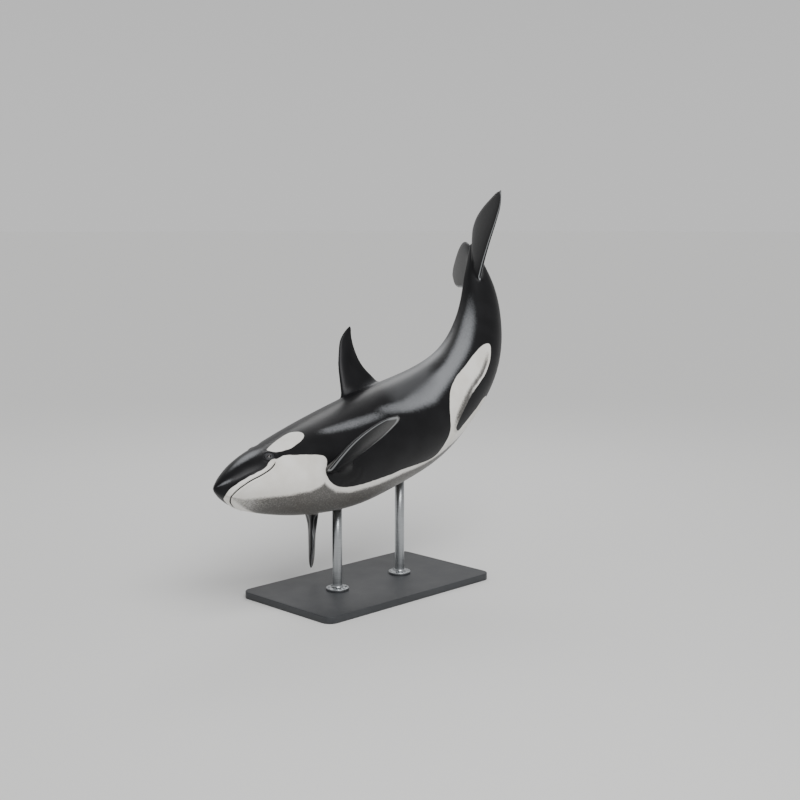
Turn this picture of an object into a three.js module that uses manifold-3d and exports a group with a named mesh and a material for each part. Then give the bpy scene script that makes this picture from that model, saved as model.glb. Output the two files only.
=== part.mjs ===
// A killer whale (orca): an adult female at life size, as a still display model on its stand.
// Millimetres, +Z up. The head points to -X and the animal's left side to -Y.
// The origin is the middle of the stand's underside, which rests on the floor.
//
// A place on the skin is given by two numbers. along runs from 0 at the snout to 1 at the
// notch of the flukes. turn is the angle round the body in degrees: 0 on the ridge of the
// back, 90 on the left side, 180 under the belly and -90 on the right side.

import * as THREE from 'three';
import { mergeVertices } from 'three/addons/utils/BufferGeometryUtils.js';
import Module from 'manifold-3d';

const wasm = await Module();
wasm.setup();

// Size and place of the whole animal
const bodyLength = 6000; // snout to the notch of the flukes, along the body
const anchorAlong = 0.35; // the place on the centre line that the posture is set out from
const anchorPoint = [-240, 30, 1660];
const jointGap = 0.3; // left between pieces that meet

// Half sizes of the body: along, above, below and beside the centre line
const girth = [
  [0, 0, 0, 0],
  [0.01, 74, 88, 86],
  [0.035, 182, 160, 206],
  [0.08, 302, 278, 338],
  [0.14, 402, 404, 418],
  [0.22, 500, 512, 510],
  [0.32, 574, 592, 548],
  [0.42, 594, 590, 544],
  [0.52, 548, 566, 484],
  [0.62, 456, 468, 374],
  [0.72, 344, 402, 246],
  [0.82, 242, 308, 154],
  [0.9, 160, 226, 106],
  [0.95, 96, 138, 86],
  [1, 20, 20, 20],
];

// Posture: a banked, upward curl. Heading, climb and bank in degrees at the anchor, then how
// fast the body bends on its way to the tail, in degrees over one body length.
const heading = 1;
const climb = 11;
const bank = 24;
const postureAlong = [0.05, 0.25, 0.45, 0.65, 0.85, 1];
const tailLift = [40, 20, 45, 180, 120, -80];
const sideBend = [10, -55, -65, 30, 25, -60];
const bodyTwist = [40, 120, -10, -80, -12, 15];
const postureSteps = 480;

// Resolution of the body's surface
const columns = 32;
const headRings = 20;
const headRingPower = 1.6; // packs the rings towards the snout
const bodyRingStep = 0.024;

// Lengths that the body is parted into, as places along it
const headEnd = 0.2;
const chinEnd = 0.105;
const shoulderEnd = 0.34;
const backEnd = 0.5;
const loinEnd = 0.64;
const stockMiddle = 0.77;
const stockEnd = 0.89;

// Where black meets white: along, and height above the centre line. The first stretch is the
// line of the mouth, then the cheek, a step down at the flippers, the belly and the vent.
const mouthProfile = [
  [-0.01, -165],
  [0.012, -142],
  [0.02, -129],
  [0.0356, -116],
  [0.0532, -118],
  [0.0678, -121],
  [0.0794, -111],
  [0.0894, -88],
  [0.0978, -53],
];
const cheekProfile = [
  [0.1038, -22],
  [0.1132, -8],
  [0.1256, -2],
  [0.1436, -20],
  [0.1638, -44],
  [0.186, -77],
  [0.2, -112],
];
const bellyProfile = [
  [0.20001, -330],
  [0.207, -376],
  [0.22, -404],
  [0.26, -428],
  [0.34, -433],
  [0.41, -444],
  [0.458, -476],
  [0.495, -498],
  [0.545, -476],
  [0.595, -448],
  [0.632, -440],
  [0.636, -640],
];
const profileDepth = 1100; // how far the white side's cutter reaches down
const profileAcross = [640, 300, -300, -640]; // points across it, past both flanks
const profileStep = 0.02;

// Mouth: a groove with a lip above and below it
const mouthFront = 0.0205;
const gapeAlong = 0.0978;
const mouthSteps = 9; // on each side
const grooveRadius = 7;
const lipRadius = 24;
const lipSunk = 15;
const lipOffset = 25;

// Eyes, on both sides
const eyeAlong = 0.0955;
const eyeTurn = 82.5;
const eyeRadius = 31;
const eyeSunk = 21;
const lidRadius = 34;
const lidThickness = 9;
const lidStretch = [1.4, 0.85, 1];
const lidSunk = 2;

// Blowhole: a crescent slit with a raised rim, its hollow side towards the snout
const blowholeAlong = 0.118;
const blowholeTurn = 3;
const blowholeReach = 42;
const blowholeHalfWidth = 62;
const blowholeSweep = 95;
const blowholeRim = 22;
const blowholeRimSunk = 10;
const blowholeSlit = 8;

// Markings set into the black skin: points of the middle line (along, turn) and half widths
const eyePatch = {
  line: [[0.1056, 76], [0.1274, 69], [0.1508, 64], [0.172, 59.5], [0.19, 56]],
  halfWidths: [12, 74, 94, 82, 16],
};
const flankPatch = {
  line: [[0.531, 129], [0.56, 112], [0.602, 101], [0.652, 102], [0.7, 107.5], [0.738, 113.5]],
  halfWidths: [24, 92, 138, 134, 102, 16],
};
const saddlePatch = {
  line: [[0.535, -52], [0.53, -32], [0.525, -10], [0.525, 10], [0.53, 32], [0.535, 52]],
  halfWidths: [24, 175, 165, 165, 175, 24],
};
const patchDepth = 28;
const patchProud = 60; // how far the cutter stands out of the skin
const patchSteps = 8;

// Dorsal fin: share of the height, leading edge, trailing edge and thickness
const dorsalAlong = 0.43;
const dorsalHeight = 720;
const dorsalRows = [
  [-0.22, -306, 335, 112],
  [0, -276, 282, 96],
  [0.25, -206, 198, 76],
  [0.5, -128, 170, 56],
  [0.75, -14, 196, 38],
  [0.9, 90, 236, 24],
  [1, 226, 282, 8],
];

// Flippers: share of the span, leading edge, trailing edge and thickness
const flipperSpan = 990;
const flipperRows = [
  [-0.16, -165, 165, 120],
  [0, -172, 172, 112],
  [0.18, -214, 206, 98],
  [0.38, -252, 246, 82],
  [0.6, -258, 262, 62],
  [0.8, -204, 236, 42],
  [0.93, -104, 170, 26],
  [1, 6, 70, 9],
];
// Where each flipper grows from the skin, and how it is held, in degrees: below the level of
// the back, swept back, and turned about its span at the root and from flipperTurned of it on
const leftFlipper = {
  side: 1, along: 0.217, turn: 119.5, droop: -3, sweep: 7, rootPitch: 0, pitch: -3.5,
};
const rightFlipper = {
  side: -1, along: 0.243, turn: 137, droop: 29, sweep: 23, rootPitch: 56, pitch: 40,
};
const flipperTurned = 0.8;

// Flukes: half span, leading edge, trailing edge and thickness, measured from where they start
const flukeAlong = 0.95;
const flukeStart = 0.89;
const flukePitch = 2.3; // degrees that the flukes are raised from the line of the back
const flukeTipDrop = 95;
const flukeRows = [
  [0, 0, 668, 120],
  [90, 36, 760, 104],
  [230, 142, 850, 78],
  [400, 256, 882, 58],
  [570, 370, 880, 42],
  [730, 478, 868, 30],
  [870, 594, 862, 18],
  [935, 680, 868, 11],
  [962, 758, 874, 7],
];

const finRings = 11;
const chordSteps = 6; // on each face of a fin
const finEdge = 4; // thickness left at a fin's trailing edge

// Stand: a flat base and two upright rods with a foot each
const baseLength = 2600;
const baseWidth = 1500;
const baseThickness = 80;
const baseCorner = 120;
const rodRadius = 55;
const rodPlaces = [-500, 500];
const rodReach = 1500;
const footRadius = 130;
const footHeight = 30;

// Colours and finish
const black = { color: 0x101114, roughness: 0.3, metalness: 0 };
const white = { color: 0xe9e7e1, roughness: 0.35, metalness: 0 };
const grey = { color: 0x85878a, roughness: 0.35, metalness: 0 };
const wetEye = { color: 0x17100d, roughness: 0.05, metalness: 0 };
const paintedBase = { color: 0x2a2c2f, roughness: 0.55, metalness: 0 };
const brushedSteel = { color: 0xa9adb0, roughness: 0.35, metalness: 1 };

const radians = THREE.MathUtils.degToRad;

// Smooth curve through points, with free ends (a natural cubic spline)
function smoothCurve(places, values) {
  const last = places.length - 1;
  const bend = new Array(last + 1).fill(0);
  const carry = new Array(last + 1).fill(0);
  for (let i = 1; i < last; i += 1) {
    const before = places[i] - places[i - 1];
    const after = places[i + 1] - places[i];
    const share = before / (before + after);
    const slopeChange = (values[i + 1] - values[i]) / after - (values[i] - values[i - 1]) / before;
    const pivot = share * bend[i - 1] + 2;
    bend[i] = (share - 1) / pivot;
    carry[i] = ((6 * slopeChange) / (before + after) - share * carry[i - 1]) / pivot;
  }
  const second = new Array(last + 1).fill(0);
  for (let i = last - 1; i > 0; i -= 1) {
    second[i] = bend[i] * second[i + 1] + carry[i];
  }
  return (place) => {
    let i = 0;
    while (i < last - 1 && place > places[i + 1]) {
      i += 1;
    }
    const width = places[i + 1] - places[i];
    const b = (place - places[i]) / width;
    const a = 1 - b;
    const curved = ((a ** 3 - a) * second[i] + (b ** 3 - b) * second[i + 1]) * (width ** 2 / 6);
    return a * values[i] + b * values[i + 1] + curved;
  };
}

// Straight stretches through points, level beyond the ends
function straightCurve(places, values) {
  const last = places.length - 1;
  return (place) => {
    let i = 0;
    while (i < last - 1 && place > places[i + 1]) {
      i += 1;
    }
    const share = THREE.MathUtils.clamp((place - places[i]) / (places[i + 1] - places[i]), 0, 1);
    return values[i] + (values[i + 1] - values[i]) * share;
  };
}

// The half sizes follow the square root of the place, which rounds the snout
const columnOf = (rows, number) => rows.map((row) => row[number]);
const girthPlaces = columnOf(girth, 0).map(Math.sqrt);
const above = smoothCurve(girthPlaces, columnOf(girth, 1));
const below = smoothCurve(girthPlaces, columnOf(girth, 2));
const beside = smoothCurve(girthPlaces, columnOf(girth, 3));

// Turns a frame of three unit vectors by small angles about its own axes
function turnFrame(frame, lift, side, twist) {
  const axis = new THREE.Vector3();
  axis.addScaledVector(frame.left, lift);
  axis.addScaledVector(frame.up, side);
  axis.addScaledVector(frame.back, twist);
  const angle = axis.length();
  if (angle > 0) {
    axis.divideScalar(angle);
  }
  return {
    back: frame.back.clone().applyAxisAngle(axis, angle),
    up: frame.up.clone().applyAxisAngle(axis, angle),
    left: frame.left.clone().applyAxisAngle(axis, angle),
  };
}

// The frame at the anchor: back points to the tail, up to the back's ridge, left to the left
function anchorFrame() {
  const turnTo = radians(heading);
  const rise = radians(climb);
  const roll = radians(bank);
  const flat = new THREE.Vector3(Math.cos(turnTo), Math.sin(turnTo), 0);
  const back = flat.clone().multiplyScalar(Math.cos(rise)).setZ(Math.sin(rise));
  const plainUp = flat.clone().multiplyScalar(-Math.sin(rise)).setZ(Math.cos(rise));
  const plainLeft = back.clone().cross(plainUp);
  const up = plainUp.multiplyScalar(Math.cos(roll)).addScaledVector(plainLeft, -Math.sin(roll));
  const left = back.clone().cross(up);
  return { back, up, left };
}

// The centre line, worked out step by step from the anchor to both ends
function setOutPosture() {
  const lift = straightCurve(postureAlong, tailLift);
  const side = straightCurve(postureAlong, sideBend);
  const twist = straightCurve(postureAlong, bodyTwist);
  const stations = new Array(postureSteps + 1);
  const start = Math.round(anchorAlong * postureSteps);
  stations[start] = { ...anchorFrame(), point: new THREE.Vector3(...anchorPoint) };
  for (const way of [1, -1]) {
    for (let i = start + way; i >= 0 && i <= postureSteps; i += way) {
      const last = stations[i - way];
      const place = (i - way) / postureSteps;
      const share = radians(way / postureSteps);
      const frame = turnFrame(last, lift(place) * share, side(place) * share, twist(place) * share);
      const step = (way * bodyLength) / postureSteps / 2;
      const point = last.point.clone().addScaledVector(last.back, step).addScaledVector(frame.back, step);
      stations[i] = { ...frame, point };
    }
  }
  return stations;
}

const stations = setOutPosture();

// The centre line's frame at any place, straight on beyond the ends
function frameAt(along) {
  const scaled = THREE.MathUtils.clamp(along, 0, 1) * postureSteps;
  const first = Math.min(Math.floor(scaled), postureSteps - 1);
  const share = scaled - first;
  const mixed = {};
  for (const name of ['point', 'back', 'up', 'left']) {
    mixed[name] = stations[first][name].clone().lerp(stations[first + 1][name], share);
  }
  const beyond = (along - THREE.MathUtils.clamp(along, 0, 1)) * bodyLength;
  mixed.point.addScaledVector(mixed.back, beyond);
  return mixed;
}

// A point given by its height above and distance to the left of the centre line
function pointAt(along, height, toLeft) {
  const frame = frameAt(along);
  return frame.point.addScaledVector(frame.up, height).addScaledVector(frame.left, toLeft);
}

// A point of the skin, or lift millimetres outside it
function skinPoint(along, turn, lift = 0) {
  const angle = radians(turn);
  const root = Math.sqrt(along);
  const tall = Math.cos(angle) > 0 ? above(root) : below(root);
  return pointAt(along, (tall + lift) * Math.cos(angle), (beside(root) + lift) * Math.sin(angle));
}

// Two directions on the skin and the one out of it: backwards, round the body, outwards
function skinFrame(along, turn) {
  const step = 0.002;
  const here = skinPoint(along, turn);
  const back = skinPoint(along + step, turn).sub(here).normalize();
  const round = skinPoint(along, turn + 0.5).sub(here).normalize();
  const out = round.clone().cross(back).normalize();
  return { here, back, round: back.clone().cross(out), out };
}

// A closed solid from points and triangles, its faces turned outwards
function solidOf(points, triangles) {
  let volume = 0;
  for (const [a, b, c] of triangles) {
    volume += points[a].dot(points[b].clone().cross(points[c]));
  }
  const outward = volume > 0 ? triangles : triangles.map(([a, b, c]) => [a, c, b]);
  const vertProperties = new Float32Array(points.flatMap((point) => point.toArray()));
  const triVerts = new Uint32Array(outward.flat());
  return new wasm.Manifold(new wasm.Mesh({ numProp: 3, vertProperties, triVerts }));
}

// A solid through equal loops of points, closed by a fan at each end. The two halves of every
// loop are split into triangles alike, so that a thin fin's faces match.
function loftSolid(loops) {
  const count = loops[0].length;
  const half = Math.floor(count / 2);
  const points = loops.flat();
  const triangles = [];
  for (let row = 0; row < loops.length - 1; row += 1) {
    for (let j = 0; j < count; j += 1) {
      const a = row * count + j;
      const b = row * count + ((j + 1) % count);
      const c = b + count;
      const d = a + count;
      if (j < half) {
        triangles.push([a, b, c], [a, c, d]);
      } else {
        triangles.push([a, b, d], [b, c, d]);
      }
    }
  }
  const ends = [[0, 1], [loops.length - 1, -1]];
  for (const [row, way] of ends) {
    const middle = new THREE.Vector3();
    for (const point of loops[row]) {
      middle.addScaledVector(point, 1 / count);
    }
    const hub = points.push(middle) - 1;
    for (let j = 0; j < count; j += 1) {
      const a = row * count + j;
      const b = row * count + ((j + 1) % count);
      triangles.push(way > 0 ? [hub, b, a] : [hub, a, b]);
    }
  }
  return solidOf(points, triangles);
}

// A solid from a closed geometry, put in place by a matrix
function solidFromGeometry(geometry, matrix) {
  const plain = geometry.clone().applyMatrix4(matrix);
  plain.deleteAttribute('normal');
  plain.deleteAttribute('uv');
  const merged = mergeVertices(plain);
  const vertProperties = new Float32Array(merged.attributes.position.array);
  const triVerts = new Uint32Array(merged.index.array);
  return new wasm.Manifold(new wasm.Mesh({ numProp: 3, vertProperties, triVerts }));
}

// A round bar through points, its radius given for each of them
function barSolid(points, radii, outwards, sides = 6) {
  const loops = points.map((point, i) => {
    const before = points[Math.max(i - 1, 0)];
    const after = points[Math.min(i + 1, points.length - 1)];
    const forward = after.clone().sub(before).normalize();
    const across = outwards[i].clone().cross(forward).normalize();
    const raise = forward.clone().cross(across);
    return Array.from({ length: sides }, (_, j) => {
      const angle = (2 * Math.PI * (j + 0.5)) / sides;
      const loopPoint = point.clone().addScaledVector(across, radii[i] * Math.cos(angle));
      return loopPoint.addScaledVector(raise, radii[i] * Math.sin(angle));
    });
  });
  return loftSolid(loops);
}

// Keeps the largest closed surface of a solid
function largestOf(solid) {
  const pieces = solid.decompose();
  pieces.sort((one, other) => other.volume() - one.volume());
  return pieces[0];
}

// Places of the body's rings, closer on the head
function ringPlaces() {
  const places = [];
  for (let i = 1; i <= headRings; i += 1) {
    places.push(headEnd * (i / headRings) ** headRingPower);
  }
  const rest = Math.round((1 - headEnd) / bodyRingStep);
  for (let i = 1; i <= rest; i += 1) {
    places.push(headEnd + ((1 - headEnd) * i) / rest);
  }
  return places;
}

// The whole plain body, grown by lift millimetres
function bodySolid(lift = 0) {
  const loops = ringPlaces().map((along) =>
    Array.from({ length: columns }, (_, j) => skinPoint(along, (360 * j) / columns, lift)),
  );
  return loftSolid(loops);
}

// The block between two places along the body
function lengthBlock(from, to) {
  const reach = 1400;
  const trim = jointGap / 2 / bodyLength;
  const corners = [[1, 1], [1, -1], [-1, -1], [-1, 1]];
  const loops = [from + trim, to - trim].map((along) =>
    corners.map(([up, left]) => pointAt(along, up * reach, left * reach)),
  );
  return loftSolid(loops);
}

// The turn at which the line of the mouth lies on the skin
const mouthHeight = smoothCurve(columnOf(mouthProfile, 0), columnOf(mouthProfile, 1));
function mouthTurn(along) {
  const share = mouthHeight(along) / below(Math.sqrt(along));
  return THREE.MathUtils.radToDeg(Math.acos(THREE.MathUtils.clamp(share, -1, 1)));
}

// Points along the mouth, from the left corner round the front to the right corner
function mouthPath(offset, sunk) {
  const places = [];
  for (let i = -mouthSteps; i <= mouthSteps; i += 1) {
    const along = mouthFront + (gapeAlong - mouthFront) * Math.abs(i / mouthSteps) ** 1.7;
    places.push({ along, turn: i === 0 ? 180 : -Math.sign(i) * mouthTurn(along) });
  }
  const line = places.map(({ along, turn }) => skinPoint(along, turn));
  return places.map(({ along, turn }, i) => {
    const { out } = skinFrame(along, turn);
    const before = line[Math.max(i - 1, 0)];
    const after = line[Math.min(i + 1, line.length - 1)];
    const sideways = after.clone().sub(before).normalize().cross(out);
    return { point: line[i].clone().addScaledVector(sideways, offset).addScaledVector(out, -sunk), out };
  });
}

// A bar along the mouth that thins out to its corners
function mouthBar(radius, offset, sunk) {
  const path = mouthPath(offset, sunk);
  const radii = path.map((_, i) => {
    const toCorner = 1 - Math.abs(i - mouthSteps) / mouthSteps;
    return radius * Math.min(1, 0.4 + 2.4 * toCorner);
  });
  return barSolid(path.map(({ point }) => point), radii, path.map(({ out }) => out));
}

// A frame on the skin as a matrix: X backwards, Y up the flank, Z outwards
function skinMatrix(along, turn, sunk, side) {
  const { here, back, round, out } = skinFrame(along, turn);
  const flank = round.multiplyScalar(-side);
  const matrix = new THREE.Matrix4().makeBasis(back, flank, back.clone().cross(flank));
  return matrix.setPosition(here.addScaledVector(out, -sunk));
}

function eyeMatrix(side) {
  return skinMatrix(eyeAlong, side * eyeTurn, eyeSunk, side);
}

// Upper and lower lid as one raised almond round the eye
function lidSolid(side) {
  const ring = new THREE.TorusGeometry(lidRadius, lidThickness, 6, 16);
  ring.scale(...lidStretch);
  return solidFromGeometry(ring, skinMatrix(eyeAlong, side * eyeTurn, lidSunk, side));
}

// A bar along the crescent of the blowhole
function blowholeBar(radius, sunk) {
  const { here, back, round, out } = skinFrame(blowholeAlong, blowholeTurn);
  const centre = here.addScaledVector(out, -sunk);
  const steps = 10;
  const points = [];
  for (let i = 0; i <= steps; i += 1) {
    const angle = radians(blowholeSweep * ((2 * i) / steps - 1));
    const point = centre.clone().addScaledVector(back, blowholeReach * Math.cos(angle));
    points.push(point.addScaledVector(round, blowholeHalfWidth * Math.sin(angle)));
  }
  const radii = points.map((_, i) => radius * (0.45 + 0.55 * Math.sin((Math.PI * i) / steps)));
  return barSolid(points, radii, points.map(() => out));
}

// The body with lips, lids and blowhole, before it is parted
function detailedBody() {
  let body = bodySolid();
  body = body.add(mouthBar(lipRadius, lipOffset, lipSunk));
  body = body.add(mouthBar(lipRadius, -lipOffset, lipSunk));
  body = body.add(blowholeBar(blowholeRim, blowholeRimSunk));
  body = body.add(lidSolid(1)).add(lidSolid(-1));
  body = body.subtract(mouthBar(grooveRadius, 0, 0));
  return body.subtract(blowholeBar(blowholeSlit, -blowholeSlit));
}

// The line between black and white, with points added so that it follows the bent body
function denseProfile(points) {
  return points.flatMap(([along, height], i) => {
    const next = points[i + 1] ?? points[i];
    const parts = Math.max(1, Math.ceil((next[0] - along) / profileStep));
    return Array.from({ length: parts }, (_, part) => {
      const share = part / parts;
      return [along + (next[0] - along) * share, height + (next[1] - height) * share];
    });
  });
}

// The same line moved upwards by a gap, at right angles to itself
function movedProfile(points, gap) {
  return points.map(([along, height], i) => {
    const before = points[Math.max(i - 1, 0)];
    const after = points[Math.min(i + 1, points.length - 1)];
    const run = (after[0] - before[0]) * bodyLength;
    const rise = after[1] - before[1];
    const length = Math.hypot(run, rise);
    return [along - (gap * rise) / length / bodyLength, height + (gap * run) / length];
  });
}

// Everything below the line between black and white
function whiteSide(profile, gap) {
  const [leftmost, , , rightmost] = profileAcross;
  const loops = movedProfile(denseProfile(profile), gap).map(([along, height]) => [
    ...profileAcross.map((toLeft) => pointAt(along, height, toLeft)),
    pointAt(along, -profileDepth, rightmost),
    pointAt(along, -profileDepth, leftmost),
  ]);
  return loftSolid(loops);
}

// A patch of skin as a block that follows it: a band along a middle line, grown by a margin
function patchBlock({ line, halfWidths }, side, margin) {
  const places = line.map((_, i) => i / (line.length - 1));
  const alongAt = smoothCurve(places, columnOf(line, 0));
  const turnAt = smoothCurve(places, columnOf(line, 1));
  const widthAt = smoothCurve(places, halfWidths);
  const across = [-1, -0.5, 0, 0.5, 1];
  const loops = [];
  for (let i = 0; i <= patchSteps; i += 1) {
    const share = i / patchSteps;
    const step = 0.01;
    const along = alongAt(share);
    const turn = turnAt(share);
    const girthHere = radians(1) * beside(Math.sqrt(along));
    const run = (alongAt(share + step) - alongAt(share - step)) * bodyLength;
    const climbUp = (turnAt(share + step) - turnAt(share - step)) * girthHere;
    const length = Math.hypot(run, climbUp);
    const endGrow = i === 0 ? -margin : i === patchSteps ? margin : 0;
    const rim = (offset) => [
      along + (endGrow * run - offset * climbUp) / length / bodyLength,
      side * (turn + (endGrow * climbUp + offset * run) / length / girthHere),
    ];
    const reach = widthAt(share) + margin;
    const outer = across.map((share) => skinPoint(...rim(share * reach), patchProud));
    const inner = across.map((share) => skinPoint(...rim(share * reach), -patchDepth - margin));
    loops.push([...outer, ...inner.reverse()]);
  }
  return loftSolid(loops);
}

// One loop of a fin: over the upper face from the trailing to the leading edge and back below
function finLoop(leading, trailing, thickness, place) {
  const loop = [];
  for (let i = 0; i <= 2 * chordSteps; i += 1) {
    const face = i <= chordSteps ? 1 : -1;
    const share = Math.abs(chordSteps - i) / chordSteps;
    const chord = share ** 1.5;
    const rounded = 1.3 * Math.sqrt(chord) * (1 - chord) * thickness;
    const half = rounded + (Math.min(finEdge, thickness) / 2) * chord;
    loop.push(place(leading + (trailing - leading) * chord, face * half));
  }
  return loop;
}

// A fin from its rows, set in place by a function of reach, chord and thickness
function finSolid(rows, span, place) {
  const reaches = columnOf(rows, 0);
  const leading = smoothCurve(reaches, columnOf(rows, 1));
  const trailing = smoothCurve(reaches, columnOf(rows, 2));
  const thickness = smoothCurve(reaches, columnOf(rows, 3));
  const first = reaches[0];
  const last = reaches[reaches.length - 1];
  const loops = [];
  for (let i = 0; i <= finRings; i += 1) {
    const share = first + (last - first) * Math.sin((Math.PI * i) / finRings / 2);
    const spot = (chord, height) => place(share * span, chord, height);
    loops.push(finLoop(leading(share), trailing(share), thickness(share), spot));
  }
  return loftSolid(loops);
}

function dorsalFin(grownBody) {
  const { point, back, up, left } = frameAt(dorsalAlong);
  const foot = point.addScaledVector(up, above(Math.sqrt(dorsalAlong)));
  const fin = finSolid(dorsalRows, dorsalHeight, (reach, chord, height) =>
    foot.clone().addScaledVector(up, reach).addScaledVector(back, chord).addScaledVector(left, height),
  );
  return fin.subtract(grownBody);
}

const mix = (one, first, other, second) =>
  one.clone().multiplyScalar(first).addScaledVector(other, second);

// The directions of a flipper: out to its tip, back along its chord, and out of its upper face
function flipperFrame({ side, along, droop, sweep }) {
  const { back, up, left } = frameAt(along);
  const sideways = left.multiplyScalar(side);
  const downwards = radians(droop);
  const backwards = radians(sweep);
  const level = mix(sideways, Math.cos(downwards), up, -Math.sin(downwards));
  const face = mix(sideways, Math.sin(downwards), up, Math.cos(downwards));
  const out = mix(level, Math.cos(backwards), back, Math.sin(backwards));
  const chord = mix(back, Math.cos(backwards), level, -Math.sin(backwards));
  return { out, chord, face };
}

function flipper(posture, grownBody) {
  const { out, chord, face } = flipperFrame(posture);
  const root = skinPoint(posture.along, posture.side * posture.turn);
  const fin = finSolid(flipperRows, flipperSpan, (reach, alongChord, height) => {
    const eased = THREE.MathUtils.smoothstep(reach / flipperSpan, 0, flipperTurned);
    const turned = radians(THREE.MathUtils.lerp(posture.rootPitch, posture.pitch, eased));
    const spot = root.clone().addScaledVector(out, reach);
    spot.addScaledVector(mix(chord, Math.cos(turned), face, Math.sin(turned)), alongChord);
    return spot.addScaledVector(mix(face, Math.cos(turned), chord, -Math.sin(turned)), height);
  });
  return fin.subtract(grownBody);
}

// Both flukes and the end of the tail stock as one solid, before it is parted down the middle
function flukesSolid(body) {
  const { point, back, up, left } = frameAt(flukeAlong);
  const raised = radians(flukePitch);
  const chordWay = mix(back, Math.cos(raised), up, Math.sin(raised));
  const face = mix(up, Math.cos(raised), back, -Math.sin(raised));
  const start = point.addScaledVector(chordWay, (flukeStart - flukeAlong) * bodyLength);
  const halfSpan = flukeRows[flukeRows.length - 1][0];
  const blade = (side) =>
    finSolid(flukeRows, 1, (reach, chord, height) => {
      const drop = flukeTipDrop * (reach / halfSpan) ** 2;
      const spot = start.clone().addScaledVector(left, side * reach).addScaledVector(chordWay, chord);
      return spot.addScaledVector(face, height - drop);
    });
  return body.add(blade(1)).add(blade(-1)).intersect(lengthBlock(flukeStart, 1.2));
}

// The block on one side of the middle of the flukes
function sideBlock(side) {
  const reach = 1400;
  const { point, back, up, left } = frameAt(flukeAlong);
  const corners = [[1, 1], [1, -1], [-1, -1], [-1, 1]];
  const loops = [jointGap / 2, reach].map((distance) =>
    corners.map(([backwards, upwards]) =>
      point
        .clone()
        .addScaledVector(left, side * distance)
        .addScaledVector(back, backwards * reach)
        .addScaledVector(up, upwards * reach),
    ),
  );
  return loftSolid(loops);
}

function baseGeometry() {
  const halfLength = baseLength / 2;
  const halfWidth = baseWidth / 2;
  const outline = new THREE.Shape();
  outline.absarc(halfLength - baseCorner, halfWidth - baseCorner, baseCorner, 0, Math.PI / 2);
  outline.absarc(baseCorner - halfLength, halfWidth - baseCorner, baseCorner, Math.PI / 2, Math.PI);
  outline.absarc(baseCorner - halfLength, baseCorner - halfWidth, baseCorner, Math.PI, 1.5 * Math.PI);
  outline.absarc(halfLength - baseCorner, baseCorner - halfWidth, baseCorner, 1.5 * Math.PI, 2 * Math.PI);
  return new THREE.ExtrudeGeometry(outline, { depth: baseThickness, bevelEnabled: false, curveSegments: 6 });
}

// An upright rod with its foot, up to the skin of the belly
function rodSolid(place, grownBody) {
  const profile = [
    new THREE.Vector2(0, 0),
    new THREE.Vector2(footRadius, 0),
    new THREE.Vector2(footRadius, footHeight),
    new THREE.Vector2(rodRadius, footHeight * 2),
    new THREE.Vector2(rodRadius, rodReach),
    new THREE.Vector2(0, rodReach),
  ];
  const upright = new THREE.Matrix4().makeRotationX(Math.PI / 2);
  upright.setPosition(place, 0, baseThickness + jointGap);
  const rod = solidFromGeometry(new THREE.LatheGeometry(profile, 18), upright);
  return rod.subtract(grownBody);
}

const group = new THREE.Group();

function addMesh(name, geometry, finish) {
  const mesh = new THREE.Mesh(geometry, new THREE.MeshStandardMaterial(finish));
  mesh.name = name;
  group.add(mesh);
}

function addSolid(name, solid, finish) {
  const { vertProperties, triVerts } = largestOf(solid).getMesh();
  const geometry = new THREE.BufferGeometry();
  geometry.setAttribute('position', new THREE.BufferAttribute(new Float32Array(vertProperties), 3));
  geometry.setIndex(new THREE.BufferAttribute(new Uint32Array(triVerts), 1));
  addMesh(name, geometry, finish);
}

const body = detailedBody();
const grownBody = bodySolid(jointGap);

// Markings are taken out of the body first, each with its gap all round
const markings = [
  ['eye_patch_left', eyePatch, 1, white],
  ['eye_patch_right', eyePatch, -1, white],
  ['flank_patch_left', flankPatch, 1, white],
  ['flank_patch_right', flankPatch, -1, white],
  ['saddle_patch', saddlePatch, 1, grey],
];
let skin = body;
for (const [name, patch, side, finish] of markings) {
  addSolid(name, body.intersect(patchBlock(patch, side, 0)), finish);
  skin = skin.subtract(patchBlock(patch, side, jointGap));
}

// Eyes in their sockets
for (const [name, side] of [['eye_left', 1], ['eye_right', -1]]) {
  const ball = new THREE.SphereGeometry(eyeRadius, 12, 8);
  const socket = new THREE.SphereGeometry(eyeRadius + 1.6 * jointGap, 12, 8);
  addSolid(name, solidFromGeometry(ball, eyeMatrix(side)), wetEye);
  skin = skin.subtract(solidFromGeometry(socket, eyeMatrix(side)));
}

// White and black lengths of the body
const lowerProfile = [...mouthProfile, ...cheekProfile, ...bellyProfile];
const whiteLengths = [
  ['lower_jaw', -0.02, chinEnd],
  ['throat', chinEnd, headEnd],
  ['breast', headEnd, shoulderEnd],
  ['belly', shoulderEnd, backEnd],
  ['vent', backEnd, loinEnd],
];
const whiteRegion = whiteSide(lowerProfile, 0);
for (const [name, from, to] of whiteLengths) {
  addSolid(name, skin.intersect(whiteRegion).intersect(lengthBlock(from, to)), white);
}

const blackLengths = [
  ['head', -0.02, headEnd],
  ['shoulders', headEnd, shoulderEnd],
  ['back', shoulderEnd, backEnd],
  ['loin', backEnd, loinEnd],
  ['tail_stock_front', loinEnd, stockMiddle],
  ['tail_stock_rear', stockMiddle, stockEnd],
];
const blackSkin = skin.subtract(whiteSide(lowerProfile, jointGap));
for (const [name, from, to] of blackLengths) {
  addSolid(name, blackSkin.intersect(lengthBlock(from, to)), black);
}

// Fins
const flukes = flukesSolid(skin);
addSolid('fluke_left', flukes.intersect(sideBlock(1)), black);
addSolid('fluke_right', flukes.intersect(sideBlock(-1)), black);
addSolid('dorsal_fin', dorsalFin(grownBody), black);
addSolid('pectoral_left', flipper(leftFlipper, grownBody), black);
addSolid('pectoral_right', flipper(rightFlipper, grownBody), black);

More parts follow.
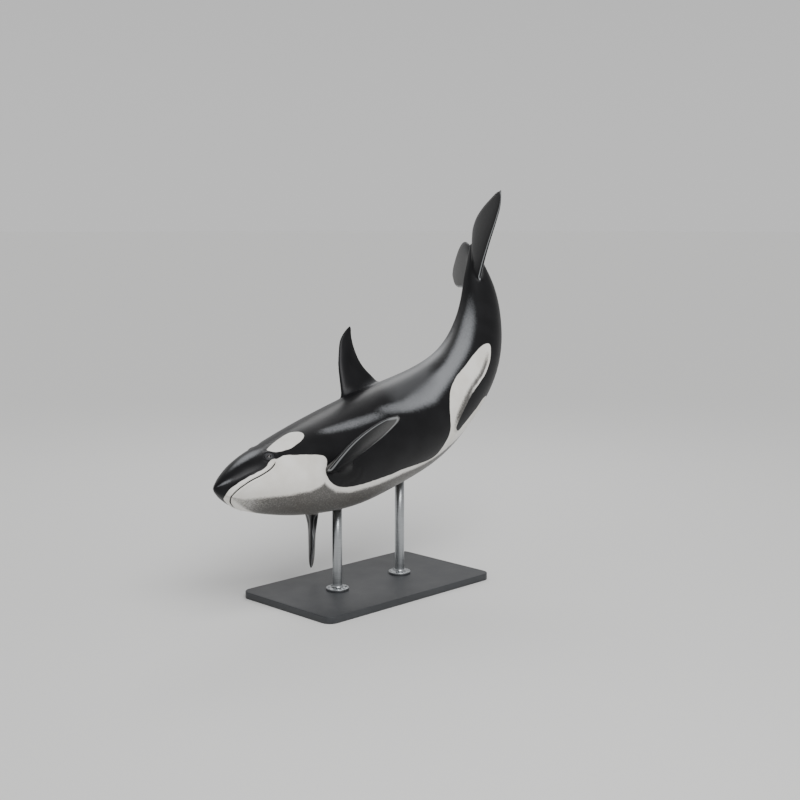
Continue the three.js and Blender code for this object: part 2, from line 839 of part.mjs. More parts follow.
// Stand
addMesh('stand_base', baseGeometry(), paintedBase);
addSolid('stand_rod_front', rodSolid(rodPlaces[0], grownBody), brushedSteel);
addSolid('stand_rod_rear', rodSolid(rodPlaces[1], grownBody), brushedSteel);

export default group;
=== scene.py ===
import bmesh
import bpy
import numpy as np
from mathutils import Matrix, Vector


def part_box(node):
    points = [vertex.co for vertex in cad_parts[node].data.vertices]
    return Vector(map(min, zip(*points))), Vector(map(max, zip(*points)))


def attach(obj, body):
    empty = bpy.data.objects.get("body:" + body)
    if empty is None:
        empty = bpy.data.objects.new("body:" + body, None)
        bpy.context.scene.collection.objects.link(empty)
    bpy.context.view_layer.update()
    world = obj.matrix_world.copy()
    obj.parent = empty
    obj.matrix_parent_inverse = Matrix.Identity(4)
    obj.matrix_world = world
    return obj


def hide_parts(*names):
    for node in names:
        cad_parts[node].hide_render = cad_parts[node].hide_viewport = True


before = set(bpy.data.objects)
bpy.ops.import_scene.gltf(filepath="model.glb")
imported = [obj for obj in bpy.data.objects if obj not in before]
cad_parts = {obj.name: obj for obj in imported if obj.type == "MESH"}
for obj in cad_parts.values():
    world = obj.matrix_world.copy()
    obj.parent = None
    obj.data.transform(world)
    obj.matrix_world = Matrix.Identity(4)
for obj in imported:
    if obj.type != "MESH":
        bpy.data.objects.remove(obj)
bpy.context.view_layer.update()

# An adult female orca at life size, banked and curling its tail up, on a plain display stand.
# Metres, unless a name or a note says millimetres; angles in degrees. A place on the skin is
# given by "along", from 0 at the snout to 1 at the notch of the flukes, and "turn", the angle
# round the body: 0 on the ridge of the back, 90 on the left side, 180 below, -90 on the right.


def unit(vectors):
    # each vector divided by its own length
    return vectors / np.maximum(np.linalg.norm(vectors, axis=-1, keepdims=True), 1e-12)


def ease(value, low, high):
    # 0 below low, 1 above high, and 3 t^2 - 2 t^3 between them
    t = np.clip((np.asarray(value, float) - low) / (high - low), 0, 1)
    return t * t * (3 - 2 * t)


def hump(value, middle, width):
    # bell curve exp(-((value - middle) / width)^2)
    return np.exp(-(((value - middle) / width) ** 2))


# The camera, at the photo's view
cameraView = {
    "azimuth": -45.0,
    "elevation": 8.0,
    "lens": 60.0, "sensor": 36.0,  # mm
    "distance": 15.2,  # from the anchor of the body, along the view
    "anchorRight": -0.55,  # where the anchor lies from the middle of the picture
    "anchorUp": -0.57,
    "farthest": 800.0,
}
anchorPoint = np.array([-0.24, 0.03, 1.66])  # on the body's centre line, inside its trunk


def setCamera(view):
    # the camera's right, up and back for azimuth a and elevation e; it stands at the anchor, less
    # the anchor's place in the picture, plus the distance along back
    a, e = np.radians(view["azimuth"]), np.radians(view["elevation"])
    right = np.array([np.cos(a), np.sin(a), 0.0])
    up = np.array([-np.sin(a) * np.sin(e), np.cos(a) * np.sin(e), np.cos(e)])
    back = np.array([np.sin(a) * np.cos(e), -np.cos(a) * np.cos(e), np.sin(e)])
    place = anchorPoint - right * view["anchorRight"] - up * view["anchorUp"] + back * view["distance"]
    data = bpy.data.cameras.new("camera")
    data.lens = view["lens"]
    data.sensor_width = view["sensor"]
    data.clip_end = view["farthest"]
    camera = bpy.data.objects.new("camera", data)
    axes = Matrix(np.stack([right, up, back], 1).tolist())
    camera.matrix_world = Matrix.Translation(Vector(place)) @ axes.to_4x4()
    bpy.context.scene.collection.objects.link(camera)
    bpy.context.scene.camera = camera


setCamera(cameraView)
print("camera set")

# The bent body, with the same named sizes as the solids'
body = {
    "length": 6.0,
    "anchorAlong": 0.35,
    # along, above, below and beside the centre line, mm
    "girth": [
        (0, 0, 0, 0), (0.01, 74, 88, 86), (0.035, 182, 160, 206), (0.08, 302, 278, 338),
        (0.14, 402, 404, 418), (0.22, 500, 512, 510), (0.32, 574, 592, 548), (0.42, 594, 590, 544),
        (0.52, 548, 566, 484), (0.62, 456, 468, 374), (0.72, 344, 402, 246), (0.82, 242, 308, 154),
        (0.9, 160, 226, 106), (0.95, 96, 138, 86), (1, 20, 20, 20),
    ],
    "heading": 1, "climb": 11, "bank": 24,
    # degrees over one body length
    "bendAlong": [0.05, 0.25, 0.45, 0.65, 0.85, 1],
    "tailLift": [40, 20, 45, 180, 120, -80],
    "sideBend": [10, -55, -65, 30, 25, -60],
    "bodyTwist": [40, 120, -10, -80, -12, 15],
    "steps": 480,
}


def smoothCurve(places, values):
    # natural cubic spline: the second slopes solve the tridiagonal system of equal first slopes
    places, values = np.asarray(places, float), np.asarray(values, float)
    gaps = np.diff(places)
    inner = np.arange(1, len(places) - 1)
    system = np.eye(len(places))
    system[inner, inner - 1] = gaps[:-1]
    system[inner, inner] = 2 * (gaps[:-1] + gaps[1:])
    system[inner, inner + 1] = gaps[1:]
    given = np.zeros(len(places))
    given[inner] = 6 * np.diff(np.diff(values) / gaps)
    second = np.linalg.solve(system, given)

    def curve(place):
        place = np.asarray(place, float)
        i = np.clip(np.searchsorted(places, place) - 1, 0, len(gaps) - 1)
        b = (place - places[i]) / gaps[i]
        a = 1 - b
        bent = ((a**3 - a) * second[i] + (b**3 - b) * second[i + 1]) * gaps[i] ** 2 / 6
        return a * values[i] + b * values[i + 1] + bent

    return curve


girthTable = np.array(body["girth"], float)
girthRoots = np.sqrt(girthTable[:, 0])
above = smoothCurve(girthRoots, girthTable[:, 1] / 1000)
below = smoothCurve(girthRoots, girthTable[:, 2] / 1000)
beside = smoothCurve(girthRoots, girthTable[:, 3] / 1000)


def turned(vectors, axis, angle):
    # Rodrigues: v cos + (axis x v) sin + axis (axis . v)(1 - cos)
    along = (vectors @ axis)[:, None] * axis
    return vectors * np.cos(angle) + np.cross(axis, vectors) * np.sin(angle) + along * (1 - np.cos(angle))


def bendCentreLine(shape):
    # the frame at the anchor, then small turns about its own axes on the way to both ends
    turnTo, rise, roll = np.radians([shape["heading"], shape["climb"], shape["bank"]])
    back = np.array([np.cos(rise) * np.cos(turnTo), np.cos(rise) * np.sin(turnTo), np.sin(rise)])
    plainUp = np.array([-np.sin(rise) * np.cos(turnTo), -np.sin(rise) * np.sin(turnTo), np.cos(rise)])
    up = plainUp * np.cos(roll) - np.cross(back, plainUp) * np.sin(roll)
    steps = shape["steps"]
    start = round(shape["anchorAlong"] * steps)
    places = np.arange(steps + 1) / steps
    bends = [np.radians(np.interp(places, shape["bendAlong"], shape[name])) / steps
             for name in ("tailLift", "sideBend", "bodyTwist")]
    frames = np.zeros((steps + 1, 3, 3))  # rows: back, up, left
    points = np.zeros((steps + 1, 3))
    frames[start] = [back, up, np.cross(back, up)]
    points[start] = anchorPoint
    for way in (1, -1):
        for i in range(start + way, steps + 1 if way > 0 else -1, way):
            last = frames[i - way]
            lift, side, twist = (way * bend[i - way] for bend in bends)
            axis = last[2] * lift + last[1] * side + last[0] * twist
            angle = np.linalg.norm(axis)
            frames[i] = turned(last, axis / max(angle, 1e-12), angle)
            points[i] = points[i - way] + way * shape["length"] / steps / 2 * (last[0] + frames[i][0])
    return places, points, frames


linePlaces, linePoints, lineFrames = bendCentreLine(body)


def frameAt(along):
    # point, back, up and left of the centre line, mixed between stations, straight on past the ends
    along = np.asarray(along, float)
    inside = np.clip(along, 0, 1)

    def pick(rows):
        return np.stack([np.interp(inside, linePlaces, rows[:, k]) for k in range(3)], -1)

    back, up, left = (pick(lineFrames[:, n]) for n in range(3))
    point = pick(linePoints) + back * ((along - inside) * body["length"])[..., None]
    return point, back, up, left


def skinPoint(along, turn, lift=0.0):
    # centre + up (height + lift) cos turn + left (half width + lift) sin turn
    along, turn, lift = np.broadcast_arrays(np.asarray(along, float), np.asarray(turn, float), lift)
    angle, root = np.radians(turn), np.sqrt(np.clip(along, 0, 1))
    tall = np.where(np.cos(angle) > 0, above(root), below(root))
    point, _, up, left = frameAt(along)
    height = (tall + lift) * np.cos(angle)
    side = (beside(root) + lift) * np.sin(angle)
    return point + up * height[..., None] + left * side[..., None]


def straightPoint(along, turn):
    # the same place on the body laid out straight: X back, Y left, Z up. Patterns and distances
    # are worked out here, so that they follow the animal and not its pose.
    along, turn = np.broadcast_arrays(np.asarray(along, float), np.asarray(turn, float))
    angle, root = np.radians(turn), np.sqrt(np.clip(along, 0, 1))
    tall = np.where(np.cos(angle) > 0, above(root), below(root))
    return np.stack([along * body["length"], beside(root) * np.sin(angle), tall * np.cos(angle)], -1)


# Lines on the skin, as (along, turn) on the left side; the right side mirrors them
lines = {
    # the closed mouth, from its front under the snout to the corner below the eye
    "mouth": [(0.0243, 180), (0.025, 174), (0.0273, 161), (0.0315, 149), (0.038, 139), (0.046, 130.5),
              (0.055, 124.5), (0.064, 120.5), (0.074, 115.5), (0.0835, 110.5), (0.091, 105.5),
              (0.0975, 100), (0.103, 94.5)],
    # lower edge of the black: the pale upper lip, the cheek, the step down at the flipper, the belly
    "blackEdge": [
        (0.0143, 181), (0.0149, 165), (0.0171, 147.5), (0.0216, 137), (0.027, 131), (0.0325, 124.5),
        (0.0395, 119.5), (0.047, 115.5), (0.0545, 113), (0.0625, 110), (0.0695, 108), (0.0765, 104.5),
        (0.0835, 99.5), (0.087, 95.5), (0.0935, 91.5), (0.0995, 90.5), (0.105, 92.5), (0.114, 90.5),
        (0.1225, 89), (0.134, 90.5), (0.139, 92), (0.158, 95), (0.177, 98), (0.1895, 100), (0.197, 102),
        (0.2005, 104.5), (0.2015, 108), (0.1995, 112), (0.1965, 116.5), (0.194, 121), (0.193, 124.5),
        (0.195, 128), (0.1985, 132.5), (0.204, 136.5), (0.2105, 139.5), (0.22, 142), (0.231, 143),
        (0.2435, 143), (0.27, 141), (0.3025, 138), (0.3365, 136.5), (0.3715, 136.5), (0.4005, 137),
        (0.445, 142.5), (0.4885, 147.5),
    ],
    # the white lobe that runs up the flank, its rear edge, and the end of the white at the vent
    "lobeFront": [
        (0.519, 137), (0.527, 133), (0.5345, 127), (0.5405, 118.5), (0.546, 110), (0.5565, 100),
        (0.5715, 91), (0.5835, 86.5), (0.598, 83.5), (0.6165, 81.5), (0.6385, 82.5), (0.6605, 85),
        (0.684, 88), (0.706, 93), (0.7225, 98.5), (0.733, 104.5), (0.7405, 112),
    ],
    "lobeRear": [
        (0.74, 117), (0.733, 120.5), (0.72, 123), (0.704, 124.5), (0.674, 123.5), (0.645, 119.5),
        (0.629, 118), (0.612, 118), (0.595, 120), (0.578, 123), (0.563, 127), (0.551, 132),
    ],
    "whiteEnd": [(0.556, 141), (0.5735, 141.5), (0.599, 143.5), (0.6215, 147), (0.6425, 150), (0.655, 160),
                 (0.66, 181)],
    "eyePatch": [(0.105, 65), (0.113, 61), (0.1235, 57), (0.1375, 53), (0.152, 50), (0.1665, 47.5),
                 (0.1775, 47.5), (0.185, 50), (0.1905, 54), (0.193, 58.5), (0.1905, 64), (0.184, 68.5),
                 (0.175, 72), (0.165, 75), (0.153, 78), (0.141, 80), (0.131, 80), (0.1215, 79.5),
                 (0.113, 77.5), (0.107, 73), (0.104, 68.5)],
    "saddle": [(0.482, -2), (0.47, 20), (0.452, 36), (0.437, 50), (0.438, 61), (0.458, 66), (0.492, 68),
               (0.53, 70), (0.562, 63), (0.585, 48), (0.6, 30), (0.61, 12), (0.613, -2)],
    "ventSlit": [(0.604, 180), (0.638, 180)],
    "teatSlit": [(0.609, 172.5), (0.624, 172.5)],
    "flipperFold": [(0.2356, 140), (0.2552, 136.5), (0.2712, 129.5), (0.2786, 120.5)],
    # where the painted shade of the throat and belly begins below the clean white
    "shadeTop": [
        (0.028, 181), (0.034, 174), (0.0565, 166), (0.073, 161), (0.0945, 156.5), (0.121, 152),
        (0.1395, 147.5), (0.1635, 144), (0.1795, 138.5), (0.19, 133), (0.2, 139), (0.22, 146),
        (0.25, 147), (0.3, 142), (0.35, 140), (0.4, 140), (0.45, 145), (0.5, 148.5), (0.53, 150),
        (0.56, 156), (0.66, 181),
    ],
}


def throughPoints(points, closed=False, between=8):
    # Catmull-Rom: 0.5 (2b + (c - a) t + (2a - 5b + 4c - d) t^2 + (3b - a - 3c + d) t^3)
    p = np.array(points, float)
    p = np.concatenate([p[-1:], p, p[:2]]) if closed else np.concatenate([p[:1], p, p[-1:]])
    a, b, c, d = (p[k:len(p) - 3 + k, None] for k in range(4))
    t = (np.arange(between) / between)[None, :, None]
    curve = 0.5 * (2 * b + (c - a) * t + (2 * a - 5 * b + 4 * c - d) * t**2 + (3 * b - a - 3 * c + d) * t**3)
    curve = curve.reshape(-1, p.shape[1])
    return curve if closed else np.concatenate([curve, p[-1:]])


def distanceTo(points, line, together=6000):
    # least distance from each point to the stretches of a line, and how far along it, 0 to 1,
    # worked out for so many points together to save memory
    a, b = line[:-1], line[1:]
    run = b - a
    size = np.maximum((run**2).sum(1), 1e-18)
    shortest, share = np.empty(len(points)), np.empty(len(points))
    for first in range(0, len(points), together):
        part = slice(first, first + together)
        off = points[part, None] - a
        t = np.clip((off * run).sum(2) / size, 0, 1)
        gap = ((off - t[..., None] * run) ** 2).sum(2)
        best = gap.argmin(1)
        shortest[part] = np.sqrt(gap[np.arange(len(best)), best])
        share[part] = (best + t[np.arange(len(best)), best]) / len(a)
    return shortest, share


def insideOf(along, turn, outline):
    # even-odd rule: counts how many sides of the outline a ray towards +along crosses
    x, y = outline.T
    nextX, nextY = np.roll(x, -1), np.roll(y, -1)
    inside = np.zeros(len(along), bool)
    for x0, y0, x1, y1 in zip(x, y, nextX, nextY):
        if y0 != y1:
            crosses = ((y0 > turn) != (y1 > turn)) & (along < x0 + (turn - y0) / (y1 - y0) * (x1 - x0))
            inside ^= crosses
    return inside


mouth = throughPoints(lines["mouth"])
whiteNames = ("blackEdge", "lobeFront", "lobeRear", "whiteEnd")
whiteBorder = throughPoints(sum((lines[name] for name in whiteNames), []), between=5)
eyePatchBorder = throughPoints(lines["eyePatch"], closed=True)
saddleBorder = throughPoints(lines["saddle"])


def onSkin(line):
    # the points of a line on the laid-out skin
    return straightPoint(line[:, 0], line[:, 1])


def leftSide(places):
    # the right side folded over onto the left one: Y becomes |Y|
    return np.stack([places[:, 0], np.abs(places[:, 1]), places[:, 2]], 1)


def edgeDistance(along, turn, places, line, outline):
    # distance to a border, positive inside it, on both sides of the body alike
    distance, _ = distanceTo(places, onSkin(line))
    return np.where(insideOf(along, np.abs(turn), outline), distance, -distance)


# Forms of the skin. A ridge is (height, middle, width), and a height below 0 makes it a furrow.
lips = {
    # measured from the line of the mouth, the upper lip's side above 0
    "upper": (0.0052, 0.021, 0.014), "lower": (0.006, -0.02, 0.014), "hollow": (-0.0025, 0.055, 0.018),
    "groove": (0.02, 0.0025, 0.0045),  # depth, roundness of its bottom, width
    "fadeFrom": 0.86, "grooveAtCorner": 0.25,
    "darkUntil": 0.88, "thinner": 0.009,  # the dark line thins out towards the corner
}
eye = {
    "along": 0.0955, "turn": 82.5,
    "radius": 0.031, "sunk": 0.021,  # the ball, as in the solids
    "cornea": (0.025, 0, 0.42),  # a ridge over the angle from the pupil, as a share of the radius
    "rings": 44, "columns": 56,
    "halfLength": 0.0275, "halfHeight": 0.0165,  # the opening between the lids
    "roundness": 1.7,  # of the opening: 2 is an ellipse and 1 a diamond
    "slant": (0.985, 0.17),  # cosine and sine: the front corner is the lower one
    "wall": (-0.0035, 0.0005), "wallDepth": 0.017,  # the lids' step down to the ball
    "lid": (0.0085, 0.0055, 0.0065), "upperLid": 0.25,
    "folds": [(-0.0035, 0.0165, 0.0035), (0.0032, 0.0235, 0.006),
              (-0.002, 0.034, 0.005), (0.004, 0.05, 0.022)],
    "within": (0.14, 0.12, 0.05),  # how far it all reaches: back, round, and through the body
}
blowhole = {
    "along": 0.118, "turn": 3,
    "reach": 0.042, "halfWidth": 0.062, "sweep": 95,
    "slit": (-0.014, 0, 0.0045), "rim": (0.006, 0.014, 0.011),
    "plug": (0.006, 0.04, 0.045),  # height, half length, half width
    "hollow": (-0.006, 0.125, 0.035), "hollowBack": 0.01,
    "within": (0.2, 0.2, 0.1),
}
creases = {
    "beak": (-0.006, 0.034, 0.009), "beakTurn": (1, 62, 50),
    "keel": (0.012, 0, 16), "keelRises": (0.66, 0.8), "keelSinks": (0.9, 0.96),
    # depth and width of slits, and the height, middle and width of their rims as shares of those
    "ventSlit": (0.009, 0.007), "teatSlit": (0.005, 0.005), "flipperFold": (0.005, 0.012),
    "slitRims": (0.6, 2.6, 1.6),
}
stepAlong, stepTurn = 0.002, 0.5  # how far apart two places on the skin are taken for a direction


def skinAxes(along, turn):
    # the skin at one place: point, back, round the body, outwards
    moves = ((0, 0), (stepAlong, 0), (0, stepTurn))
    here, behind, aside = (skinPoint(along + da, turn + dt) for da, dt in moves)
    back = unit(behind - here)
    out = unit(np.cross(unit(aside - here), back))
    return here, back, np.cross(back, out), out


def localPlace(places, along, turn, within):
    # coordinates on the laid-out skin about a place, backwards and towards greater turn, and
    # which places are near it
    centre = straightPoint(along, turn)
    back = unit(straightPoint(along + stepAlong, turn) - centre)
    around = unit(straightPoint(along, turn + stepTurn) - centre)
    around = unit(around - back * (around @ back))
    off = places - centre
    a, b, depth = off @ back, off @ around, np.abs(off @ np.cross(back, around))
    near = (np.abs(a) < within[0]) & (np.abs(b) < within[1]) & (depth < within[2])
    return a, b, near


def ridge(value, form):
    # height exp(-((value - middle) / width)^2)
    height, middle, width = form
    return height * hump(value, middle, width)


def mouthLift(along, turn, mouthGap, mouthShare):
    # a sharp groove exp(-hypot(distance, roundness) / width) between two soft rolls, which all
    # fade towards the corner
    upper = np.where(np.abs(turn) < np.interp(along, mouth[:, 0], mouth[:, 1]), 1, -1)
    signed = mouthGap * upper
    fade = 1 - ease(mouthShare, lips["fadeFrom"], 1.0)
    depth, roundness, width = lips["groove"]
    depth = depth * (lips["grooveAtCorner"] + (1 - lips["grooveAtCorner"]) * fade)
    rolls = ridge(signed, lips["upper"]) + ridge(signed, lips["lower"]) + ridge(signed, lips["hollow"])
    return fade * rolls - depth * np.exp(-np.hypot(mouthGap, roundness) / width)


def lidLift(places, side):
    # e is the distance from the opening, a rounded diamond; over e a wall, a lid and four folds
    a, b, near = localPlace(places, eye["along"], side * eye["turn"], eye["within"])
    b = b * -side  # up the flank
    cosine, sine = eye["slant"]
    a, b = a * cosine + b * sine, b * cosine - a * sine
    power = eye["roundness"]
    size = (np.abs(a / eye["halfLength"]) ** power + np.abs(b / eye["halfHeight"]) ** power) ** (1 / power)
    e = (size - 1) * np.hypot(a, b) / np.maximum(size, 1e-6)
    form = -eye["wallDepth"] * (1 - ease(e, *eye["wall"]))
    form = form + ridge(e, eye["lid"]) * (1 + eye["upperLid"] * ease(b, -0.01, 0.01))
    form = form + sum(ridge(e, fold) for fold in eye["folds"])
    return np.where(near, form, 0)


def blowholeLift(places):
    # a crescent slit with a rim, a plug that bulges in its hollow side, and a hollow all round
    a, b, near = localPlace(places, blowhole["along"], blowhole["turn"], blowhole["within"])
    t = np.radians(np.linspace(-1, 1, 41) * blowhole["sweep"])
    arc = np.stack([blowhole["reach"] * np.cos(t), blowhole["halfWidth"] * np.sin(t)], 1)
    gap = np.full(len(places), 1.0)
    gap[near] = distanceTo(np.stack([a[near], b[near]], 1), arc)[0]
    height, halfLength, halfWidth = blowhole["plug"]
    form = ridge(gap, blowhole["slit"]) + ridge(gap, blowhole["rim"])
    form = form + height * np.exp(-((a / halfLength) ** 2 + (b / halfWidth) ** 2))
    form = form + ridge(np.hypot(a - blowhole["hollowBack"], b), blowhole["hollow"])
    return np.where(near, form, 0)


def creaseLift(along, turn, places):
    # a crease over the beak, keels above and below the tail stock, and slits, each between two rims
    lift = ridge(along, creases["beak"]) * ridge(np.abs(turn), creases["beakTurn"])
    keel = ease(along, *creases["keelRises"]) * (1 - ease(along, *creases["keelSinks"]))
    lift += keel * (ridge(turn, creases["keel"]) + ridge(180 - np.abs(turn), creases["keel"]))
    high, off, wide = creases["slitRims"]
    for name in ("ventSlit", "teatSlit", "flipperFold"):
        depth, width = creases[name]
        gap, _ = distanceTo(places, onSkin(throughPoints(lines[name])))
        lift += ridge(gap, (-depth, 0, width)) + ridge(gap, (high * depth, off * width, wide * width))
    return lift


def skinLift(along, turn, places, mouthGap, mouthShare):
    # all raised and sunk forms, added along the section's own directions
    lift = mouthLift(along, turn, mouthGap, mouthShare) + blowholeLift(places)
    lift += lidLift(places, 1) + lidLift(places, -1)
    return lift + creaseLift(along, turn, places)


# The body's grid: a plain cylinder, refined where the skin has detail, then wrapped round the body
grid = {
    "columns": 128,
    "headStep": 0.0155, "bodyStep": 0.029,  # spacing of the rings
    "headEnd": 0.2, "bodyFrom": 0.27,
    # each level halves the spacing so near to these, inside the level before it
    "levels": [
        {"mouth": 0.08, "eye": 0.14, "blowhole": 0.16, "ventSlit": 0.08},
        {"mouth": 0.045, "eye": 0.1, "blowhole": 0.115, "ventSlit": 0.065},
        {"mouth": 0.016, "eye": 0.07, "blowhole": 0.078},
        {"eye": 0.052},
    ],
}
detailSpots = {"eye": eye, "blowhole": blowhole}


def ringPlaces(shape):
    # rings spaced by the wanted step along the profile, so they gather on the blunt snout
    dense = np.linspace(0, 1, 6001) ** 2
    profile = np.stack([dense * body["length"], beside(np.sqrt(dense))], 1)
    run = np.linalg.norm(np.diff(profile, axis=0), axis=1)
    step = np.interp(dense, [0, shape["headEnd"], shape["bodyFrom"], 1],
                     [shape["headStep"], shape["headStep"], shape["bodyStep"], shape["bodyStep"]])
    count = np.concatenate([[0], np.cumsum(run / step[1:])])
    rings = int(round(count[-1]))
    return np.interp(np.arange(1, rings + 1) / rings * count[-1], count, dense)


def readCylinder(points):
    # along is x and turn the angle from y to z; the two poles lie on the axis
    along = np.clip(points[:, 0], 0, 1)
    turn = np.degrees(np.arctan2(points[:, 2], points[:, 1]))
    pole = np.hypot(points[:, 1], points[:, 2]) < 1e-6
    return along, turn, pole


def readMany(items, name, each=1, kind=float):
    # one property of all items of a mesh, as an array with a row for each item
    values = np.empty(len(items) * each, kind)
    items.foreach_get(name, values)
    return values.reshape(-1, each) if each > 1 else values


def refine(mesh, regions):
    # halves the edges whose middles lie in any of the regions
    ends = readMany(mesh.edges, "vertices", 2, int)
    along, turn, _ = readCylinder(readMany(mesh.vertices, "co", 3)[ends].mean(1))
    middle = leftSide(straightPoint(along, turn))
    picked = np.flatnonzero(np.any([inside(middle) for inside in regions], 0))
    work = bmesh.new()
    work.from_mesh(mesh)
    work.edges.ensure_lookup_table()
    bmesh.ops.subdivide_edges(work, edges=[work.edges[i] for i in picked], cuts=1, use_grid_fill=True)
    work.to_mesh(mesh)
    work.free()


def nearLine(name, reach):
    # whether places lie nearer than reach to a line on the skin
    line = onSkin(throughPoints(lines[name]))

    def inside(places):
        low, high = line.min(0) - reach, line.max(0) + reach
        close = ((places > low) & (places < high)).all(1)
        close[close] = distanceTo(places[close], line)[0] < reach
        return close

    return inside


def nearPlace(spot, reach):
    # whether places lie nearer than reach to a spot on the skin
    centre = straightPoint(spot["along"], spot["turn"])
    return lambda places: np.linalg.norm(places - centre, axis=1) < reach


def bodyGrid(shape):
    # a cylinder of points (along, cos turn, sin turn)
    rings = ringPlaces(shape)
    columns = shape["columns"]
    angle = np.radians(360 * np.arange(columns) / columns)
    tube = np.stack(np.broadcast_arrays(rings[:, None], np.cos(angle), np.sin(angle)), -1).reshape(-1, 3)
    points = np.concatenate([tube, [[0, 0, 0], [1, 0, 0]]])
    quads, caps = tubeFaces(len(rings), columns)
    mesh = bpy.data.meshes.new("cylinder")
    mesh.from_pydata(points.tolist(), [], quads.tolist() + caps.tolist())
    for level in shape["levels"]:
        refine(mesh, [nearPlace(detailSpots[name], reach) if name in detailSpots else nearLine(name, reach)
                      for name, reach in level.items()])
    return mesh, rings


def tubeFaces(rings, columns):
    # quads between rings, and fans to two pole points that follow the last ring
    i, j = np.meshgrid(np.arange(rings - 1), np.arange(columns), indexing="ij")
    a, b = i * columns + j, i * columns + (j + 1) % columns
    quads = np.stack([a, a + columns, b + columns, b], -1).reshape(-1, 4)
    j = np.arange(columns)
    first, last = rings * columns, rings * columns + 1
    start = np.stack([np.full(columns, first), j, (j + 1) % columns], -1)
    end = (rings - 1) * columns
    finish = np.stack([np.full(columns, last), end + (j + 1) % columns, end + j], -1)
    return quads, np.concatenate([start, finish])


# Fins
dorsal = {
    "along": 0.43, "height": 0.72,
    # share of the height, leading edge, trailing edge, thickness, mm
    "rows": [(-0.22, -306, 335, 112), (0, -276, 282, 96), (0.25, -206, 198, 76), (0.5, -128, 170, 56),
             (0.75, -14, 196, 38), (0.9, 90, 236, 24), (1, 226, 282, 8)],
    # shares of the height at which the tip begins to round off, and at which the fillet ends
    "tipFrom": 0.94, "fromShare": 0.17,
    # foot of the fillet: how far it is shifted back, longer and deeper than the fin itself
    "root": {"along": 0.43, "turn": 0, "shift": 0, "longer": 0.05, "deeper": 0.045},
}
flipper = {
    "span": 0.99,
    # share of the span, leading edge, trailing edge, thickness, mm
    "rows": [(-0.16, -165, 165, 120), (0, -172, 172, 112), (0.18, -214, 206, 98), (0.38, -252, 246, 82),
             (0.6, -258, 262, 62), (0.8, -204, 236, 42), (0.93, -104, 170, 26), (1, 6, 70, 9)],
    # droop below the body's own level, sweep back, and the blade's pitch at the root and further out
    "left": {"side": 1, "along": 0.217, "turn": 119.5, "droop": -3, "sweep": 7, "rootPitch": 0, "pitch": -3.5,
             "fromShare": 0.14, "root": {"shift": 0.06, "longer": 0.03, "deeper": 0.035}},
    "right": {"side": -1, "along": 0.243, "turn": 137, "droop": 29, "sweep": 23, "rootPitch": 56, "pitch": 40,
              "fromShare": 0.4, "root": {"shift": 0.09, "longer": 0.13, "deeper": 0.05, "straighter": 0.8}},
    "turnedFrom": 0.8, "tipFrom": 0.94,
}
fluke = {
    "along": 0.95, "start": 0.89, "pitch": 2.3, "tipDrop": 0.095,
    # reach to the side, leading edge and trailing edge behind the start, thickness, mm
    "rows": [(0, 0, 668, 120), (90, 36, 760, 104), (230, 142, 850, 78), (400, 256, 882, 58),
             (570, 370, 880, 42), (730, 478, 868, 30), (870, 594, 862, 18), (935, 680, 868, 11),
             (962, 758, 874, 7)],
    "tipFrom": 0.86, "fromShare": 0.17,
    "root": {"along": 0.943, "shift": -0.318, "longer": 0.02, "deeper": 0.035, "tailPull": 0},
}
finGrid = {
    "rings": 37, "chord": 20, "rootRings": 14,
    "edge": 0.004,  # thickness of the trailing edge
    "fullness": 1.3, "tipMiddle": 0.55, "tipLeast": 0.06, "lastAlong": 0.997,
    "tailFrom": 0.75,  # share of the chord from which a root's tailPull counts
    "sunkLoops": [(1.08, -0.003), (0.9, -0.06)],  # size and lift of the last loops, inside the body
    # Hermite slope, for its height, of a curve that follows a quarter of an ellipse: 3 times 0.5523
    "roundPull": 1.657,
}


def finRows(fin, shares):
    # leading edge, trailing edge and thickness, smooth curves through the fin's rows
    table = np.array(fin["rows"], float)
    return [smoothCurve(table[:, 0], table[:, k] / 1000)(shares) for k in (1, 2, 3)]


def finLoops(fin, shares, place):
    # chord share c runs trailing edge, over the upper face to the leading edge, and back below;
    # half thickness = fullness sqrt(c) (1 - c) t + edge c / 2; near the tip both shrink by
    # sqrt(1 - s^2)
    leading, trailing, thickness = (values[:, None] for values in finRows(fin, shares))
    tip = np.clip((shares[:, None] / fin["rows"][-1][0] - fin["tipFrom"]) / (1 - fin["tipFrom"]), 0, 1)
    shrink = np.maximum(np.sqrt(1 - tip**2), finGrid["tipLeast"])
    middle = leading + finGrid["tipMiddle"] * (trailing - leading)
    leading, trailing = middle + (leading - middle) * shrink, middle + (trailing - middle) * shrink
    step = np.arange(2 * finGrid["chord"] + 1) / finGrid["chord"] - 1
    chord = 1 - np.cos(np.pi / 2 * np.abs(step))
    face = np.where(step <= 0, 1, -1)
    edge = np.minimum(finGrid["edge"], thickness) / 2 * chord
    half = (finGrid["fullness"] * np.sqrt(chord) * (1 - chord) * thickness + edge) * shrink
    across = leading + (trailing - leading) * chord
    points = place(np.broadcast_to(shares[:, None], across.shape), across, face * half)
    return points, chord, face, across - leading, trailing - across


